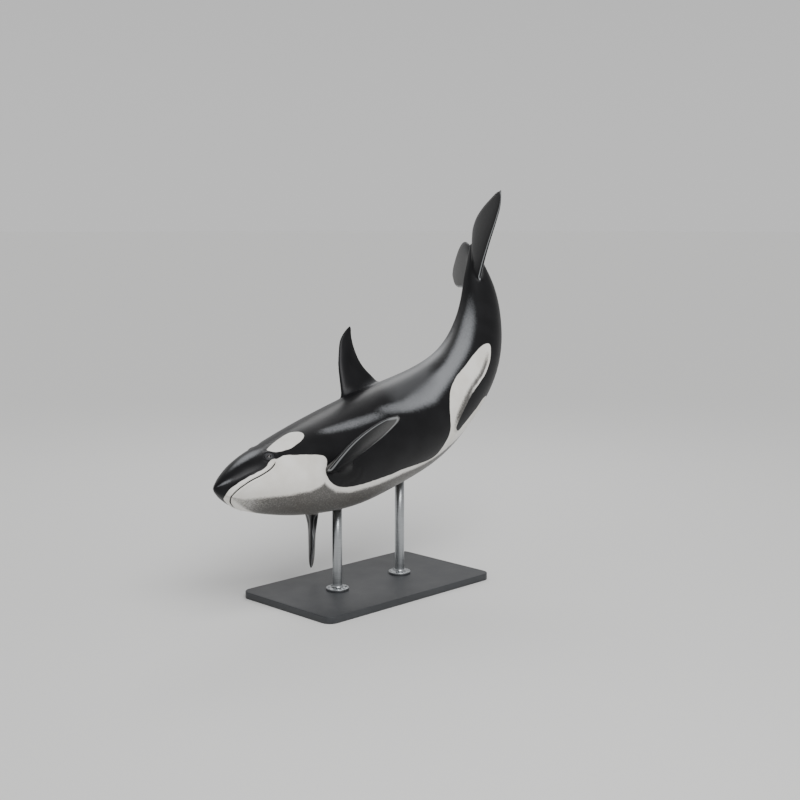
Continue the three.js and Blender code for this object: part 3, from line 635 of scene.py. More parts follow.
def rootedFin(fin, place, fromShare, span, root):
    # Blade loops from the tip to fromShare, then a fillet: every point of the last loop runs to
    # an ellipse on the skin round the root on a Hermite curve. It leaves the blade down the
    # blade's slope and meets the skin outwards along the skin, like a quarter of an ellipse, or
    # as a straighter parabola where the root says so.
    last = fin["rows"][-1][0]
    first = fromShare * last
    shares = first + (last - first) * np.sin(np.pi / 2 * np.linspace(1, 0, finGrid["rings"]))
    blade, chord, face, leadGap, trailGap = finLoops(fin, shares, place)
    closeBy = finLoops(fin, np.array([first, first * 0.98]), place)[0]  # two loops give the slope
    slope = unit(closeBy[1] - closeBy[0])
    leading, trailing, thickness = finRows(fin, 0.0)
    middle, halfChord, halfThick = (leading + trailing) / 2, (trailing - leading) / 2, thickness / 2
    across = 2 * chord - 1
    rim = face * np.sqrt(np.clip(1 - across**2, 0, 1))
    along0, turn0 = root["along"], root["turn"]
    here, back, around, _ = skinAxes(along0, turn0)
    # the ways of the blade's chord and upper face, on the skin, and metres for each along and degree
    origin, chordTip, faceTip = place(np.zeros(3), np.array([0, 1, 0]), np.array([0, 0, 1]))
    onPlane = np.stack([back, around])
    chordWay = unit(onPlane @ (chordTip - origin))
    faceWay = np.array([-chordWay[1], chordWay[0]])
    if faceWay @ (onPlane @ (faceTip - origin)) < 0:
        faceWay = -faceWay
    perAlong = np.linalg.norm(skinPoint(along0 + stepAlong / 2, turn0) - here) / (stepAlong / 2)
    perTurn = np.linalg.norm(skinPoint(along0, turn0 + stepTurn) - here) / stepTurn

    def onRoot(grow, lift):
        # the ellipse round the root, so many times as large, at this lift from the skin
        x = (middle + root["shift"] + (halfChord + root["longer"]) * across) * grow
        y = (halfThick + root["deeper"]) * rim * grow
        move = x[:, None] * chordWay + y[:, None] * faceWay
        along = np.clip(along0 + move[:, 0] / perAlong, 0, finGrid["lastAlong"])
        turn = turn0 + move[:, 1] / perTurn
        return along, turn, skinPoint(along, turn, lift)

    along, turn, rootLoop = onRoot(1.0, 0.0)
    outwards = unit(onRoot(1.04, 0.0)[2] - rootLoop)  # towards a slightly larger ellipse
    way, straighter = rootLoop - blade[-1], root.get("straighter", 0)
    high = slope * np.maximum((way * slope).sum(1), 0)[:, None]
    pull = 1 - (1 - root.get("tailPull", 1)) * ease(chord, finGrid["tailFrom"], 1.0)
    wide = outwards * (np.maximum((way * outwards).sum(1), 0) * pull)[:, None]
    pulled = finGrid["roundPull"]
    leave = high * (pulled - (pulled - 1) * straighter)
    meet = wide * (pulled + (2 - pulled) * straighter) + high * straighter
    t = (np.arange(1, finGrid["rootRings"] + 1) / finGrid["rootRings"])[:, None, None]
    fillet = ((2 * t**3 - 3 * t**2 + 1) * blade[-1] + (t**3 - 2 * t**2 + t) * leave
              + (3 * t**2 - 2 * t**3) * rootLoop + (t**3 - t**2) * meet)
    loops = np.concatenate([blade, fillet, [onRoot(*sunk)[2] for sunk in finGrid["sunkLoops"]]])
    # how much of it is fin (1) and how much body (0), and the distances from the blade's edges
    share = np.concatenate([np.ones(len(blade)), 1 - t[:, 0, 0], [0, 0]])
    tipGap = ((1 - shares / last) * span)[:, None]
    shape = loops.shape[:2]
    more = len(t) + 2
    return {
        "loops": loops,
        "fin": np.broadcast_to(share[:, None], shape),
        "leadGap": np.concatenate([np.minimum(leadGap, tipGap), np.repeat(leadGap[-1:], more, 0)]),
        "trailGap": np.concatenate([np.minimum(trailGap, tipGap), np.repeat(trailGap[-1:], more, 0)]),
        "face": np.broadcast_to(face, shape),
        "along": np.broadcast_to(along, shape),
        "turn": np.broadcast_to(turn, shape),
    }


def dorsalPlace(share, chord, height):
    # the ridge of the back + up share x fin height + back chord + left height over the blade
    point, back, up, left = frameAt(dorsal["along"])
    foot = point + up * above(np.sqrt(dorsal["along"]))
    spot = foot + up * (share * dorsal["height"])[..., None]
    return spot + back * chord[..., None] + left * height[..., None]


def flipperPlace(held):
    # out share x span, then chord and height in axes turned by the pitch, which changes smoothly
    # from the root to turnedFrom of the span
    _, back, up, left = frameAt(held["along"])
    sideways = left * held["side"]
    down, swept = np.radians([held["droop"], held["sweep"]])
    level = sideways * np.cos(down) - up * np.sin(down)
    facing = sideways * np.sin(down) + up * np.cos(down)
    out = level * np.cos(swept) + back * np.sin(swept)
    chordWay = back * np.cos(swept) - level * np.sin(swept)
    root = skinPoint(held["along"], held["side"] * held["turn"])

    def place(share, chord, height):
        eased = ease(share, 0, flipper["turnedFrom"])
        pitch = np.radians(held["rootPitch"] + (held["pitch"] - held["rootPitch"]) * eased)[..., None]
        spot = root + out * (share * flipper["span"])[..., None]
        spot = spot + (chordWay * np.cos(pitch) + facing * np.sin(pitch)) * chord[..., None]
        return spot + (facing * np.cos(pitch) - chordWay * np.sin(pitch)) * height[..., None]

    return place


def flukePlace(side):
    # raised by the pitch, and dropping towards the tip with the square of the reach
    point, back, up, left = frameAt(fluke["along"])
    pitch = np.radians(fluke["pitch"])
    chordWay = back * np.cos(pitch) + up * np.sin(pitch)
    facing = up * np.cos(pitch) - back * np.sin(pitch)
    start = point + chordWay * (fluke["start"] - fluke["along"]) * body["length"]
    halfSpan = fluke["rows"][-1][0]

    def place(reach, chord, height):
        drop = fluke["tipDrop"] * (reach / halfSpan) ** 2
        spot = start + left * (side * reach / 1000)[..., None] + chordWay * chord[..., None]
        return spot + facing * (height - drop)[..., None]

    return place


def allFins():
    # the dorsal fin, both flippers and both flukes
    fins = {"dorsal": rootedFin(dorsal, dorsalPlace, dorsal["fromShare"], dorsal["height"], dorsal["root"])}
    for name in ("left", "right"):
        held = flipper[name]
        root = {"along": held["along"], "turn": held["side"] * held["turn"], **held["root"]}
        place = flipperPlace(held)
        fins[name + "Flipper"] = rootedFin(flipper, place, held["fromShare"], flipper["span"], root)
    for name, side in (("left", 1), ("right", -1)):
        root = {"turn": 90 * side, **fluke["root"]}
        halfSpan = fluke["rows"][-1][0] / 1000
        fins[name + "Fluke"] = rootedFin(fluke, flukePlace(side), fluke["fromShare"], halfSpan, root)
    return fins


# One skin from all of them
def putMesh(name, points, corners, counts):
    # a smooth piece from its points, the faces' corners in a row and each face's number of them
    mesh = bpy.data.meshes.new(name)
    mesh.vertices.add(len(points))
    mesh.vertices.foreach_set("co", np.ascontiguousarray(points, np.float32).ravel())
    mesh.loops.add(len(corners))
    mesh.loops.foreach_set("vertex_index", np.ascontiguousarray(corners, np.int32))
    mesh.polygons.add(len(counts))
    starts = np.concatenate([[0], np.cumsum(counts)[:-1]])
    mesh.polygons.foreach_set("loop_start", np.ascontiguousarray(starts, np.int32))
    mesh.update(calc_edges=True)
    mesh.validate()
    mesh.shade_smooth()
    piece = bpy.data.objects.new(name, mesh)
    bpy.context.scene.collection.objects.link(piece)
    return piece


def putNumbers(mesh, name, values):
    # one number or one vector for each point
    kind, field = ("FLOAT_VECTOR", "vector") if values.ndim == 2 else ("FLOAT", "value")
    layer = mesh.attributes.new(name, kind, "POINT")
    layer.data.foreach_set(field, np.ascontiguousarray(values, np.float32).ravel())


def loftFaces(points, rings, columns):
    # faces of a closed loft, turned outwards by the sign of its volume
    quads, caps = tubeFaces(rings, columns)
    a, b, c, d = (points[quads[:, k]] for k in range(4))
    volume = (np.cross(a, b) * c).sum() + (np.cross(a, c) * d).sum()
    if volume < 0:
        quads, caps = quads[:, ::-1], caps[:, ::-1]
    corners = np.concatenate([quads.ravel(), caps.ravel()])
    counts = np.concatenate([np.full(len(quads), 4), np.full(len(caps), 3)])
    return corners, counts


# the sheet for baking, in shares of its side: the body below, the five fins in a row above it
sheet = {
    "margin": 0.005, "bodyFoot": 0.015, "bodyTall": 0.6,
    "finFoot": 0.66, "finTall": 0.32, "finWide": 0.198, "finGap": 0.06,
}


def bodySkin():
    # the grid read as (along, turn), lifted by its forms and wrapped round the bent body
    mesh, rings = bodyGrid(grid)
    along, turn, pole = readCylinder(readMany(mesh.vertices, "co", 3))
    corners = readMany(mesh.loops, "vertex_index", kind=int)
    counts = readMany(mesh.polygons, "loop_total", kind=int)
    bpy.data.meshes.remove(mesh)
    places = straightPoint(along, turn)
    mouthGap, mouthShare = distanceTo(leftSide(places), onSkin(mouth))
    lift = skinLift(along, turn, places, mouthGap, mouthShare)
    skin = skinPoint(along, turn, np.where(pole, 0, lift))
    centre, _, _, _ = frameAt(along)
    skin[pole] = centre[pole]
    ringCount = np.interp(along, np.concatenate([[0], rings]), np.linspace(0, 1, len(rings) + 1))
    u = sheet["margin"] + (1 - 2 * sheet["margin"]) * ringCount
    uv = np.stack([u, sheet["bodyFoot"] + sheet["bodyTall"] * (turn / 360 + 0.5)], 1)[corners]
    # faces across the seam under the belly keep together
    owner = np.repeat(np.arange(len(counts)), counts)
    high = np.zeros(len(counts), bool)
    high[owner[uv[:, 1] > 0.5]] = True
    low = high[owner] & (uv[:, 1] < 0.13)
    uv[low, 1] += sheet["bodyTall"]
    none, far = np.zeros(len(skin)), np.ones(len(skin))
    return {
        "points": skin, "corners": corners, "counts": counts, "uv": uv, "along": along, "turn": turn,
        "places": places, "mouthGap": mouthGap + lips["thinner"] * ease(mouthShare, lips["darkUntil"], 1.0),
        "kind": none, "fin": none, "face": none, "leadGap": far, "trailGap": far,
    }


def finSkin(number, made, kind):
    # a fin's loops closed by two poles, with the same numbers for each point as the body has
    loops = made["loops"]
    rings, columns = loops.shape[:2]
    poles = np.stack([loops[0].mean(0), loops[-1].mean(0)])
    points = np.concatenate([loops.reshape(-1, 3), poles])
    corners, counts = loftFaces(points, rings, columns)

    def flat(name):
        values = made[name]
        return np.concatenate([values.reshape(-1), [values[0].mean(), values[-1].mean()]])

    gap = sheet["finGap"]
    aroundShare = np.concatenate([np.tile(np.linspace(0, 1, columns), rings), [0.5, 0.5]])
    u = sheet["margin"] + sheet["finWide"] * (number + gap + (1 - 2 * gap) * aroundShare)
    v = np.concatenate([np.repeat(np.linspace(0, 1, rings), columns), [0, 1]])
    v = sheet["finFoot"] + sheet["finTall"] * v
    along, turn = flat("along"), flat("turn")
    # patterns run on outwards from the root, as far as each point is from it
    places = straightPoint(along, turn)
    away = np.linalg.norm(points - loops[-4].mean(0), axis=1) * flat("fin")
    places = places + unit(places * [0, 1, 1]) * away[:, None]
    part = {name: flat(name) for name in ("fin", "face", "leadGap", "trailGap")}
    return {
        **part, "points": points, "corners": corners, "counts": counts, "uv": np.stack([u, v], 1)[corners],
        "along": along, "turn": turn, "places": places,
        "mouthGap": np.ones(len(points)), "kind": np.full(len(points), kind),
    }


# painted light and shade in the skin's colour: pale bands and spots as painted sheen on the black, and
# painted shade on the white
paintedSheenAndShade = {
    # painted sheen bands, in place of highlights on the wet skin: along, middle turn, half width in degrees,
    # strength
    "bands": [
        [(0.36, 62, 5, 0), (0.4, 63, 7, 0.55), (0.457, 69.5, 9.5, 0.8), (0.528, 71, 15, 1),
         (0.579, 67, 14, 1), (0.63, 65, 13, 0.95), (0.706, 63, 18, 0.9), (0.783, 58, 21, 0.7),
         (0.88, 50, 16, 0)],
        [(0.205, 68, 5, 0), (0.24, 68, 6, 0.6), (0.303, 66.7, 7, 0.65), (0.364, 66, 6, 0.55),
         (0.43, 66, 5, 0)],
        [(0.4, 10, 22, 0), (0.5, 8, 28, 0.7), (0.66, 4, 34, 0.8), (0.83, 0, 26, 0)],
    ],
    # painted highlight spots on the forehead and the snout tip: along, turn, half size along, half size in
    # degrees, strength
    "spots": [(0.066, 56, 0.036, 13, 0.8), (0.013, 103, 0.012, 10, 0.6)],
    # the painted shade of the throat starts over this depth, higher on the right side, and weaker at the
    # chin
    "throatFade": 0.06, "rightHigher": 24, "rightUntil": (0.15, 0.3),
    "chinStrength": 0.55, "chinUntil": (0.03, 0.1),
    # distances from the lobe's rear edge at which its painted shade begins, is full, and fades out; ahead
    # of lobeRimFrom the painted shade reaches the edge itself
    "lobe": (0.016, 0.034, 0.04, 0.12),
    "lobeFrom": (0.53, 0.57), "lobeRimFrom": (0.6, 0.66), "lobeUntil": (0.69, 0.735),
}


def paintedSheenMask(along, turn, fin):
    # painted sheen: the strongest of the bands and spots, each falling off as exp(-distance^3)
    mask = np.zeros(len(along))
    for band in paintedSheenAndShade["bands"]:
        table = np.array(band).T
        middle, half, power = (np.interp(along, table[0], values) for values in table[1:])
        mask = np.maximum(mask, power * np.exp(-np.abs((np.abs(turn) - middle) / half) ** 3))
    for a, b, reach, half, power in paintedSheenAndShade["spots"]:
        away = np.hypot((along - a) / reach, (np.abs(turn) - b) / half)
        mask = np.maximum(mask, power * np.exp(-away**3))
    return mask * (1 - fin)


def paintedShadeMask(along, turn, places):
    # painted shade on the white: below shadeTop on the throat and belly, and a band inside the lobe's rear
    # edge, each the product of its eased limits
    top = np.array(lines["shadeTop"])
    higher = paintedSheenAndShade["rightHigher"] * (turn < 0) * (1 - ease(along, *paintedSheenAndShade["rightUntil"]))
    lower = np.radians(np.abs(turn) + higher - np.interp(along, top[:, 0], top[:, 1]))
    throat = ease(lower * below(np.sqrt(along)), 0, paintedSheenAndShade["throatFade"])
    chin = paintedSheenAndShade["chinStrength"]
    throat = throat * (chin + (1 - chin) * ease(along, *paintedSheenAndShade["chinUntil"]))
    rear, _ = distanceTo(places, onSkin(throughPoints(lines["lobeRear"])))
    rimFrom, rimTo, fadeFrom, fadeTo = paintedSheenAndShade["lobe"]
    lobe = np.maximum(ease(rear, rimFrom, rimTo), 1 - ease(along, *paintedSheenAndShade["lobeRimFrom"]))
    lobe = lobe * (1 - ease(rear, fadeFrom, fadeTo)) * ease(along, *paintedSheenAndShade["lobeFrom"])
    return np.maximum(throat, lobe * (1 - ease(along, *paintedSheenAndShade["lobeUntil"])))


# the body is kind 0
finKinds = {"dorsal": 1, "leftFlipper": 2, "rightFlipper": 2, "leftFluke": 3, "rightFluke": 3}
finMarks = {
    "blackFrom": 0.04,  # share of the way from body to blade at which the white ends
    "saddleOff": 0.25,
    # the white undersides of the flukes: width of their dark rim, and where they begin
    "underRim": 0.07, "underDeepest": 0.09, "underEdge": 0.02, "underFrom": (0.55, 1.0),
    # the painted highlight, a pale line inside the rims, moved off the skin by rimHide where there is none
    "rimHide": 0.03, "trailThinner": 0.42, "trailUntil": (0.85, 1.0), "rimFrom": (0.3, 0.8),
}


def whiteDistance(along, turn, places, whole):
    # metres inside the white: the body's, the eye patch, and the undersides of the flukes inside a
    # dark rim; the other fins are black from a little above their roots
    white = edgeDistance(along, turn, places, whiteBorder, whiteBorder)
    white = np.maximum(white, edgeDistance(along, turn, places, eyePatchBorder, eyePatchBorder))
    white = np.minimum(white, 2 * (finMarks["blackFrom"] - whole["fin"]))
    under = (whole["kind"] == 3) & (whole["face"] < 0)
    edge = finMarks["underEdge"]
    inner = np.minimum(whole["leadGap"], whole["trailGap"]) - finMarks["underRim"]
    inner = (np.minimum(inner, finMarks["underDeepest"]) + edge) * ease(whole["fin"], *finMarks["underFrom"])
    return np.where(under, np.maximum(white, inner - edge), white)


def rimDistance(whole):
    # distance from the flippers' rims, for the painted highlight line just inside them below, which is wider
    # along the thin trailing rim, and from the flukes' leading edges, for the one above
    fin, kind, hide = whole["fin"], whole["kind"], finMarks["rimHide"]
    trailGap = finMarks["trailThinner"] * whole["trailGap"] + hide * (1 - ease(fin, *finMarks["trailUntil"]))
    gap = np.where(kind == 2, np.minimum(whole["leadGap"], trailGap), 1.0)
    gap = np.where(kind == 3, whole["leadGap"], gap) + hide * (1 - ease(fin, *finMarks["rimFrom"]))
    return gap + hide * np.where(kind == 2, whole["face"] > 0, whole["face"] < 0)


def orcaSkin():
    # body and fins in one mesh, with each point's distances from the borders of the colours
    parts = [bodySkin()]
    for number, (name, made) in enumerate(allFins().items()):
        parts.append(finSkin(number, made, finKinds[name]))
    firsts = np.cumsum([0] + [len(part["points"]) for part in parts[:-1]])
    corners = np.concatenate([part["corners"] + first for part, first in zip(parts, firsts)])
    whole = {name: np.concatenate([part[name] for part in parts])
             for name in parts[0] if name != "corners"}
    piece = putMesh("orcaSkin", whole["points"], corners, whole["counts"])
    piece.data.uv_layers.new(name="OFBake").data.foreach_set("uv", whole["uv"].astype(np.float32).ravel())
    along, turn, fin = whole["along"], whole["turn"], whole["fin"]
    places = leftSide(straightPoint(along, turn))
    saddleOutline = np.concatenate([saddleBorder, [[saddleBorder[-1, 0], -6], [saddleBorder[0, 0], -6]]])
    saddle = edgeDistance(along, turn, places, saddleBorder, saddleOutline)
    numbers = {
        "whiteEdge": whiteDistance(along, turn, places, whole),
        "saddleEdge": saddle - finMarks["saddleOff"] * fin,
        "rimHighlightGap": rimDistance(whole),
        "mouthGap": whole["mouthGap"],
        "eyeGap": np.linalg.norm(places - straightPoint(eye["along"], eye["turn"]), axis=1),
        "paintedSheenMask": paintedSheenMask(along, turn, fin),
        "paintedShadeMask": paintedShadeMask(along, turn, places),
        "laidOut": whole["places"],
    }
    for name, values in numbers.items():
        putNumbers(piece.data, name, values)
    return piece


skin = orcaSkin()
print("skin", len(skin.data.vertices), "points")


# Eyes
def eyeBall(name, side):
    # sphere of (polar angle, angle round the outward axis), the cornea swelling at the pole
    here, back, around, out = skinAxes(eye["along"], side * eye["turn"])
    centre = here - out * eye["sunk"]
    polar = np.radians(np.linspace(3, 177, eye["rings"]))[:, None]
    spin = np.radians(360 * np.arange(eye["columns"]) / eye["columns"])[None]
    radius = eye["radius"] * (1 + ridge(polar, eye["cornea"]))
    flat = np.cos(spin)[..., None] * back + np.sin(spin)[..., None] * around
    loops = centre + (radius * np.sin(polar))[..., None] * flat + (radius * np.cos(polar))[..., None] * out
    poles = [centre + out * eye["radius"] * (1 + eye["cornea"][0]), centre - out * eye["radius"]]
    points = np.concatenate([loops.reshape(-1, 3), poles])
    corners, counts = loftFaces(points, eye["rings"], eye["columns"])
    piece = putMesh(name, points, corners, counts)
    # where the eye looks: back, up and out, in radii
    gaze = (points - centre) @ np.stack([back, around * -side, out], 1)
    putNumbers(piece.data, "gaze", gaze / eye["radius"])
    return piece


eyes = {side: eyeBall(name, side) for name, side in (("eyeBallLeft", 1), ("eyeBallRight", -1))}
print("eyes made")


# Display stand
stand = {
    "length": 2.6, "width": 1.5, "thickness": 0.08, "corner": 0.12,
    "bevel": 0.007, "footBevel": 0.0028, "rimFlat": 0.03,  # the flat ring keeps the shading even
    "rods": {"standRodFront": -0.5, "standRodRear": 0.5},
    "rodRadius": 0.055, "intoBelly": 0.03,
    "footRadius": 0.13, "footHeight": 0.03, "footEdge": 0.004, "footRound": 0.002,
    "fillet": 0.03, "bossHeight": 0.09,
    "screws": 6, "screwCircle": 0.1, "screwSides": 18, "screwSunk": 0.001,
    # radius and height, mm, over the head and down into its socket
    "screwHead": [(11, 0), (11, 9), (9.5, 10.5), (6.16, 10.5), (5.5, 9.5), (5.5, 5)],
    "gap": 0.0003,  # so that the rods' feet don't lie in the base's own face
}


def standBase():
    # rounded rectangle: each corner an arc; the profile is (inset, height) round the rim
    arc = np.radians(np.linspace(0, 90, 13))
    half = np.array([stand["length"], stand["width"]]) / 2 - stand["corner"]
    ways = [(1, 1, 0), (-1, 1, 90), (-1, -1, 180), (1, -1, 270)]
    centres = np.concatenate([np.tile(half * [sx, sy], (len(arc), 1)) for sx, sy, _ in ways])
    angles = np.concatenate([arc + np.radians(start) for _, _, start in ways])
    bevel, under, top = stand["bevel"], stand["footBevel"], stand["thickness"]
    quarter = np.radians(np.linspace(0, 90, 6))
    rounded = np.stack([bevel - bevel * np.cos(quarter), top - bevel + bevel * np.sin(quarter)], 1)
    rim = np.concatenate([[[under, 0], [0, under]], rounded,
                          [[bevel + stand["rimFlat"], top], [stand["corner"] - 0.001, top]]])
    radius = (stand["corner"] - rim[:, 0])[:, None]
    loops = np.stack([centres[:, 0] + radius * np.cos(angles), centres[:, 1] + radius * np.sin(angles),
                      np.broadcast_to(rim[:, 1:2], (len(rim), len(angles)))], -1)
    points = np.concatenate([loops.reshape(-1, 3), [[0, 0, 0], [0, 0, top]]])
    return putMesh("standBase", points, *loftFaces(points, len(rim), len(angles)))


def spun(profile, centre, columns=64):
    # a profile of (radius, height) turned about an upright axis through the centre
    angle = np.radians(360 * np.arange(columns) / columns)
    radius, height = np.array(profile, float).T[..., None]
    x, y, z = centre
    loops = np.stack([radius * np.cos(angle) + x, radius * np.sin(angle) + y,
                      np.broadcast_to(height, (len(profile), columns)) + z], -1)
    points = np.concatenate([loops.reshape(-1, 3), [[x, y, z + profile[0][1]], [x, y, z + profile[-1][1]]]])
    return points, *loftFaces(points, len(profile), columns)


def standRod(name, x):
    # foot plate with a rounded edge, a fillet up to the tube, the tube into the belly, and
    # screws with round sockets in a circle on the foot
    r, foot, height, fillet = stand["rodRadius"], stand["footRadius"], stand["footHeight"], stand["fillet"]
    edge, rounding, boss = stand["footEdge"], stand["footRound"], stand["bossHeight"]
    top = stand["thickness"] + stand["gap"]
    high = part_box("stand_rod_front" if x < 0 else "stand_rod_rear")[1].z - top + stand["intoBelly"]
    bend = np.radians(np.linspace(0, 90, 7))
    cone = np.stack([r + fillet * (1 - np.sin(bend)), height + fillet * (1 - np.cos(bend))], 1)
    profile = [(foot - rounding, 0), (foot, rounding), (foot, height - edge),
               (foot - 0.3 * edge, height - 0.3 * edge), (foot - edge, height),
               *cone.tolist(), (r, boss), (r, high * 0.5), (r, high)]
    shells = [spun(profile, (x, 0, top))]
    head, foothold = np.array(stand["screwHead"]) / 1000, top + height - stand["screwSunk"]
    for k in range(stand["screws"]):
        angle = 2 * np.pi * (k + 0.5) / stand["screws"]
        away = np.array([np.cos(angle), np.sin(angle)]) * stand["screwCircle"]
        shells.append(spun(head, (x + away[0], away[1], foothold), stand["screwSides"]))
    points, corners, counts = zip(*shells)
    firsts = np.cumsum([0] + [len(shell) for shell in points[:-1]])
    corners = [shell + first for shell, first in zip(corners, firsts)]
    return putMesh(name, np.concatenate(points), np.concatenate(corners), np.concatenate(counts))


base = standBase()
rods = {name: standRod(name, x) for name, x in stand["rods"].items()}
print("stand made")


# Materials
def linear(code):
    # sRGB hex to linear light
    value = np.array([int(code[k:k + 2], 16) for k in (1, 3, 5)]) / 255
    value = np.where(value <= 0.04045, value / 12.92, ((value + 0.055) / 1.055) ** 2.4)
    return (*value.tolist(), 1.0)


def addNode(tree, kind, inputs, output=0, **settings):
    # one node with its settings and inputs (a socket is linked, anything else is a value); gives
    # back the output that is wanted. A mix of colours takes its share at input 0 and the two
    # colours at 6 and 7, and gives its result at output 2.
    node = tree.nodes.new(kind)
    for name, value in settings.items():
        setattr(node, name, value)
    for key, value in inputs.items():
        if isinstance(value, bpy.types.NodeSocket):
            tree.links.new(value, node.inputs[key])
        else:
            node.inputs[key].default_value = value
    return node.outputs[output]


def newMaterial(name):
    # an empty material, its nodes and the socket that its shader goes into
    material = bpy.data.materials.new(name)
    material.use_nodes = True
    tree = material.node_tree
    tree.nodes.clear()
    return material, tree, tree.nodes.new("ShaderNodeOutputMaterial").inputs["Surface"]


skinFinish = {
    # fresh skin first, worn skin second
    "black": ("#08080a", "#141416"), "white": ("#e8e6e1", "#d9d5cd"), "roughness": (0.38, 0.46),
    "wornLimits": (0.4, 0.75), "roughLimits": (0.3, 0.75),  # in the clouds and in the stipple
    "ior": 1.36, "coat": 0.12, "coatRoughness": 0.2, "waterIor": 1.33,
    "glossTint": (0.62, 0.62, 0.64, 1),  # a thin film on dark blubber shines less than glass does
    # sizes in mm: the stipple and the ripples are coarser than real skin's, so that they show at
    # the size of the whole animal
    "stipple": 18, "ripple": 70, "cloud": 260,
    "relief": 0.12, "reliefDepth": 0.002,
    # the rim colour is a painted highlight line inside the rims of the flippers and flukes
    "rim": "#8d8f91", "rimInside": (0.007, 0.013), "rimOutside": (0.03, 0.021),
    # each layer's colour shows where an attribute, plus so much of a pattern, lies between limits
    "layers": {
        # painted sheen on the black skin, in place of its highlights
        "pale": {"colour": "#85878a", "reads": "paintedSheenMask", "pattern": ("stipple", 0.5),
                 "limits": (0.33, 1.3)},
        "saddle": {"colour": "#4f5052", "reads": "saddleEdge", "pattern": ("cloud", 0.12),
                   "limits": (-0.06, 0.22), "most": 0.65},
        # painted highlight: grey on the lids round the eye
        "lids": {"colour": "#4c4d4f", "reads": "eyeGap", "limits": (0.062, 0.02)},
        # painted shade on the white of the throat, the belly and the lobe
        "shade": {"colour": "#393735", "reads": "paintedShadeMask", "pattern": ("stipple", 0.85),
                  "limits": (0.5, 1.5), "most": 0.92},
        "white": {"reads": "whiteEdge", "pattern": ("ripple", 0.01), "limits": (0.001, 0.009)},
        # the mouth's own dark line, with painted shade fading out from its groove onto the lips
        "mouth": {"colour": "#120f0e", "reads": "mouthGap", "limits": (0.0095, 0.0045)},
    },
}


def wetSkin():
    # Living whale skin, wet: smooth rubbery blubber under a film of water. To the eye it is deep
    # black and clean white with crisp borders and a broad soft gloss, with painted sheen and painted
    # shade as stippled greys.
    material, tree, surface = newMaterial("wet whale skin")
    finish = skinFinish
    laidOut = addNode(tree, "ShaderNodeAttribute", {}, "Vector", attribute_name="laidOut")
    grain = addNode(tree, "ShaderNodeTexNoise", {
        "Vector": laidOut, "Scale": 1000 / finish["stipple"], "Detail": 3.0, "Roughness": 0.6})
    ripple = addNode(tree, "ShaderNodeTexNoise", {
        "Vector": laidOut, "Scale": 1000 / finish["ripple"], "Detail": 1.0})
    cloud = addNode(tree, "ShaderNodeTexNoise", {
        "Vector": laidOut, "Scale": 1000 / finish["cloud"], "Detail": 4.0})
    patterns = {"stipple": grain, "ripple": ripple, "cloud": cloud}

    def layer(name, under, over=None):
        # the share of the layer rises as 3 t^2 - 2 t^3 from one limit to the other, up to its most
        mark = finish["layers"][name]
        value = addNode(tree, "ShaderNodeAttribute", {}, "Fac", attribute_name=mark["reads"])
        if "pattern" in mark:
            pattern, amount = mark["pattern"]
            value = addNode(tree, "ShaderNodeMath", {0: patterns[pattern], 1: amount, 2: value},
                            operation="MULTIPLY_ADD")
        low, high = mark["limits"]
        share = addNode(tree, "ShaderNodeMapRange", {
            "Value": value, "From Min": low, "From Max": high, "To Max": mark.get("most", 1.0),
        }, interpolation_type="SMOOTHSTEP")
        colour = linear(mark["colour"]) if over is None else over
        return addNode(tree, "ShaderNodeMix", {0: share, 6: under, 7: colour}, 2, data_type="RGBA")

    # black skin and white skin, each a little different where it is worn
    low, high = finish["wornLimits"]
    worn = addNode(tree, "ShaderNodeMapRange", {"Value": cloud, "From Min": low, "From Max": high})
    black, white = (
        addNode(tree, "ShaderNodeMix", {0: worn, 6: linear(finish[name][0]), 7: linear(finish[name][1])}, 2,
                data_type="RGBA")
        for name in ("black", "white"))
    # painted sheen: soft grey bands and spots in place of highlights, stippled where they thin out;
    # and the grey saddle behind the dorsal fin, which fades out over about its last quarter metre and
    # wanders a little
    black = layer("saddle", layer("pale", black))
    # painted highlight: a pale line just inside the rims of the flippers and flukes
    gap = addNode(tree, "ShaderNodeAttribute", {}, "Fac", attribute_name="rimHighlightGap")
    rising, falling = (
        addNode(tree, "ShaderNodeMapRange", {"Value": gap, "From Min": low, "From Max": high})
        for low, high in (finish["rimInside"], finish["rimOutside"]))
    share = addNode(tree, "ShaderNodeMath", {0: rising, 1: falling}, operation="MULTIPLY")
    pale = linear(finish["rim"])
    black = addNode(tree, "ShaderNodeMix", {0: share, 6: black, 7: pale}, 2, data_type="RGBA")
    # grey lids as a painted highlight round the eye, stippled painted shade on the white of the throat
    # and belly, the crisp border of black and white, wavering by a few millimetres, and the dark line of
    # the mouth, with painted shade fading out from its groove
    black = layer("lids", black)
    colour = layer("mouth", layer("white", black, layer("shade", white)))
    # relief of fine ripples, and a gloss that varies with the stipple
    relief = addNode(tree, "ShaderNodeBump", {
        "Height": ripple, "Strength": finish["relief"], "Distance": finish["reliefDepth"]})
    (low, high), (smooth, rough) = finish["roughLimits"], finish["roughness"]
    gloss = addNode(tree, "ShaderNodeMapRange", {
        "Value": grain, "From Min": low, "From Max": high, "To Min": smooth, "To Max": rough})
    shader = addNode(tree, "ShaderNodeBsdfPrincipled", {
        "Base Color": colour, "Roughness": gloss, "IOR": finish["ior"], "Normal": relief,
        "Specular Tint": finish["glossTint"], "Coat Weight": finish["coat"],
        "Coat Roughness": finish["coatRoughness"], "Coat IOR": finish["waterIor"],
    })
    tree.links.new(shader, surface)
    return material


eyeFinish = {
    "iris": "#2a1710", "irisDark": "#0d0705", "white": "#1e1815", "pupil": "#020202",
    # limits in radii of the ball; the pupil is wider than it is high
    "irisEnd": (0.44, 0.56), "pupilEnd": (0.3, 0.24), "pupilSqueeze": 1.9,
    "fibres": 9.0, "roughness": 0.12, "ior": 1.38, "coatRoughness": 0.02,
}


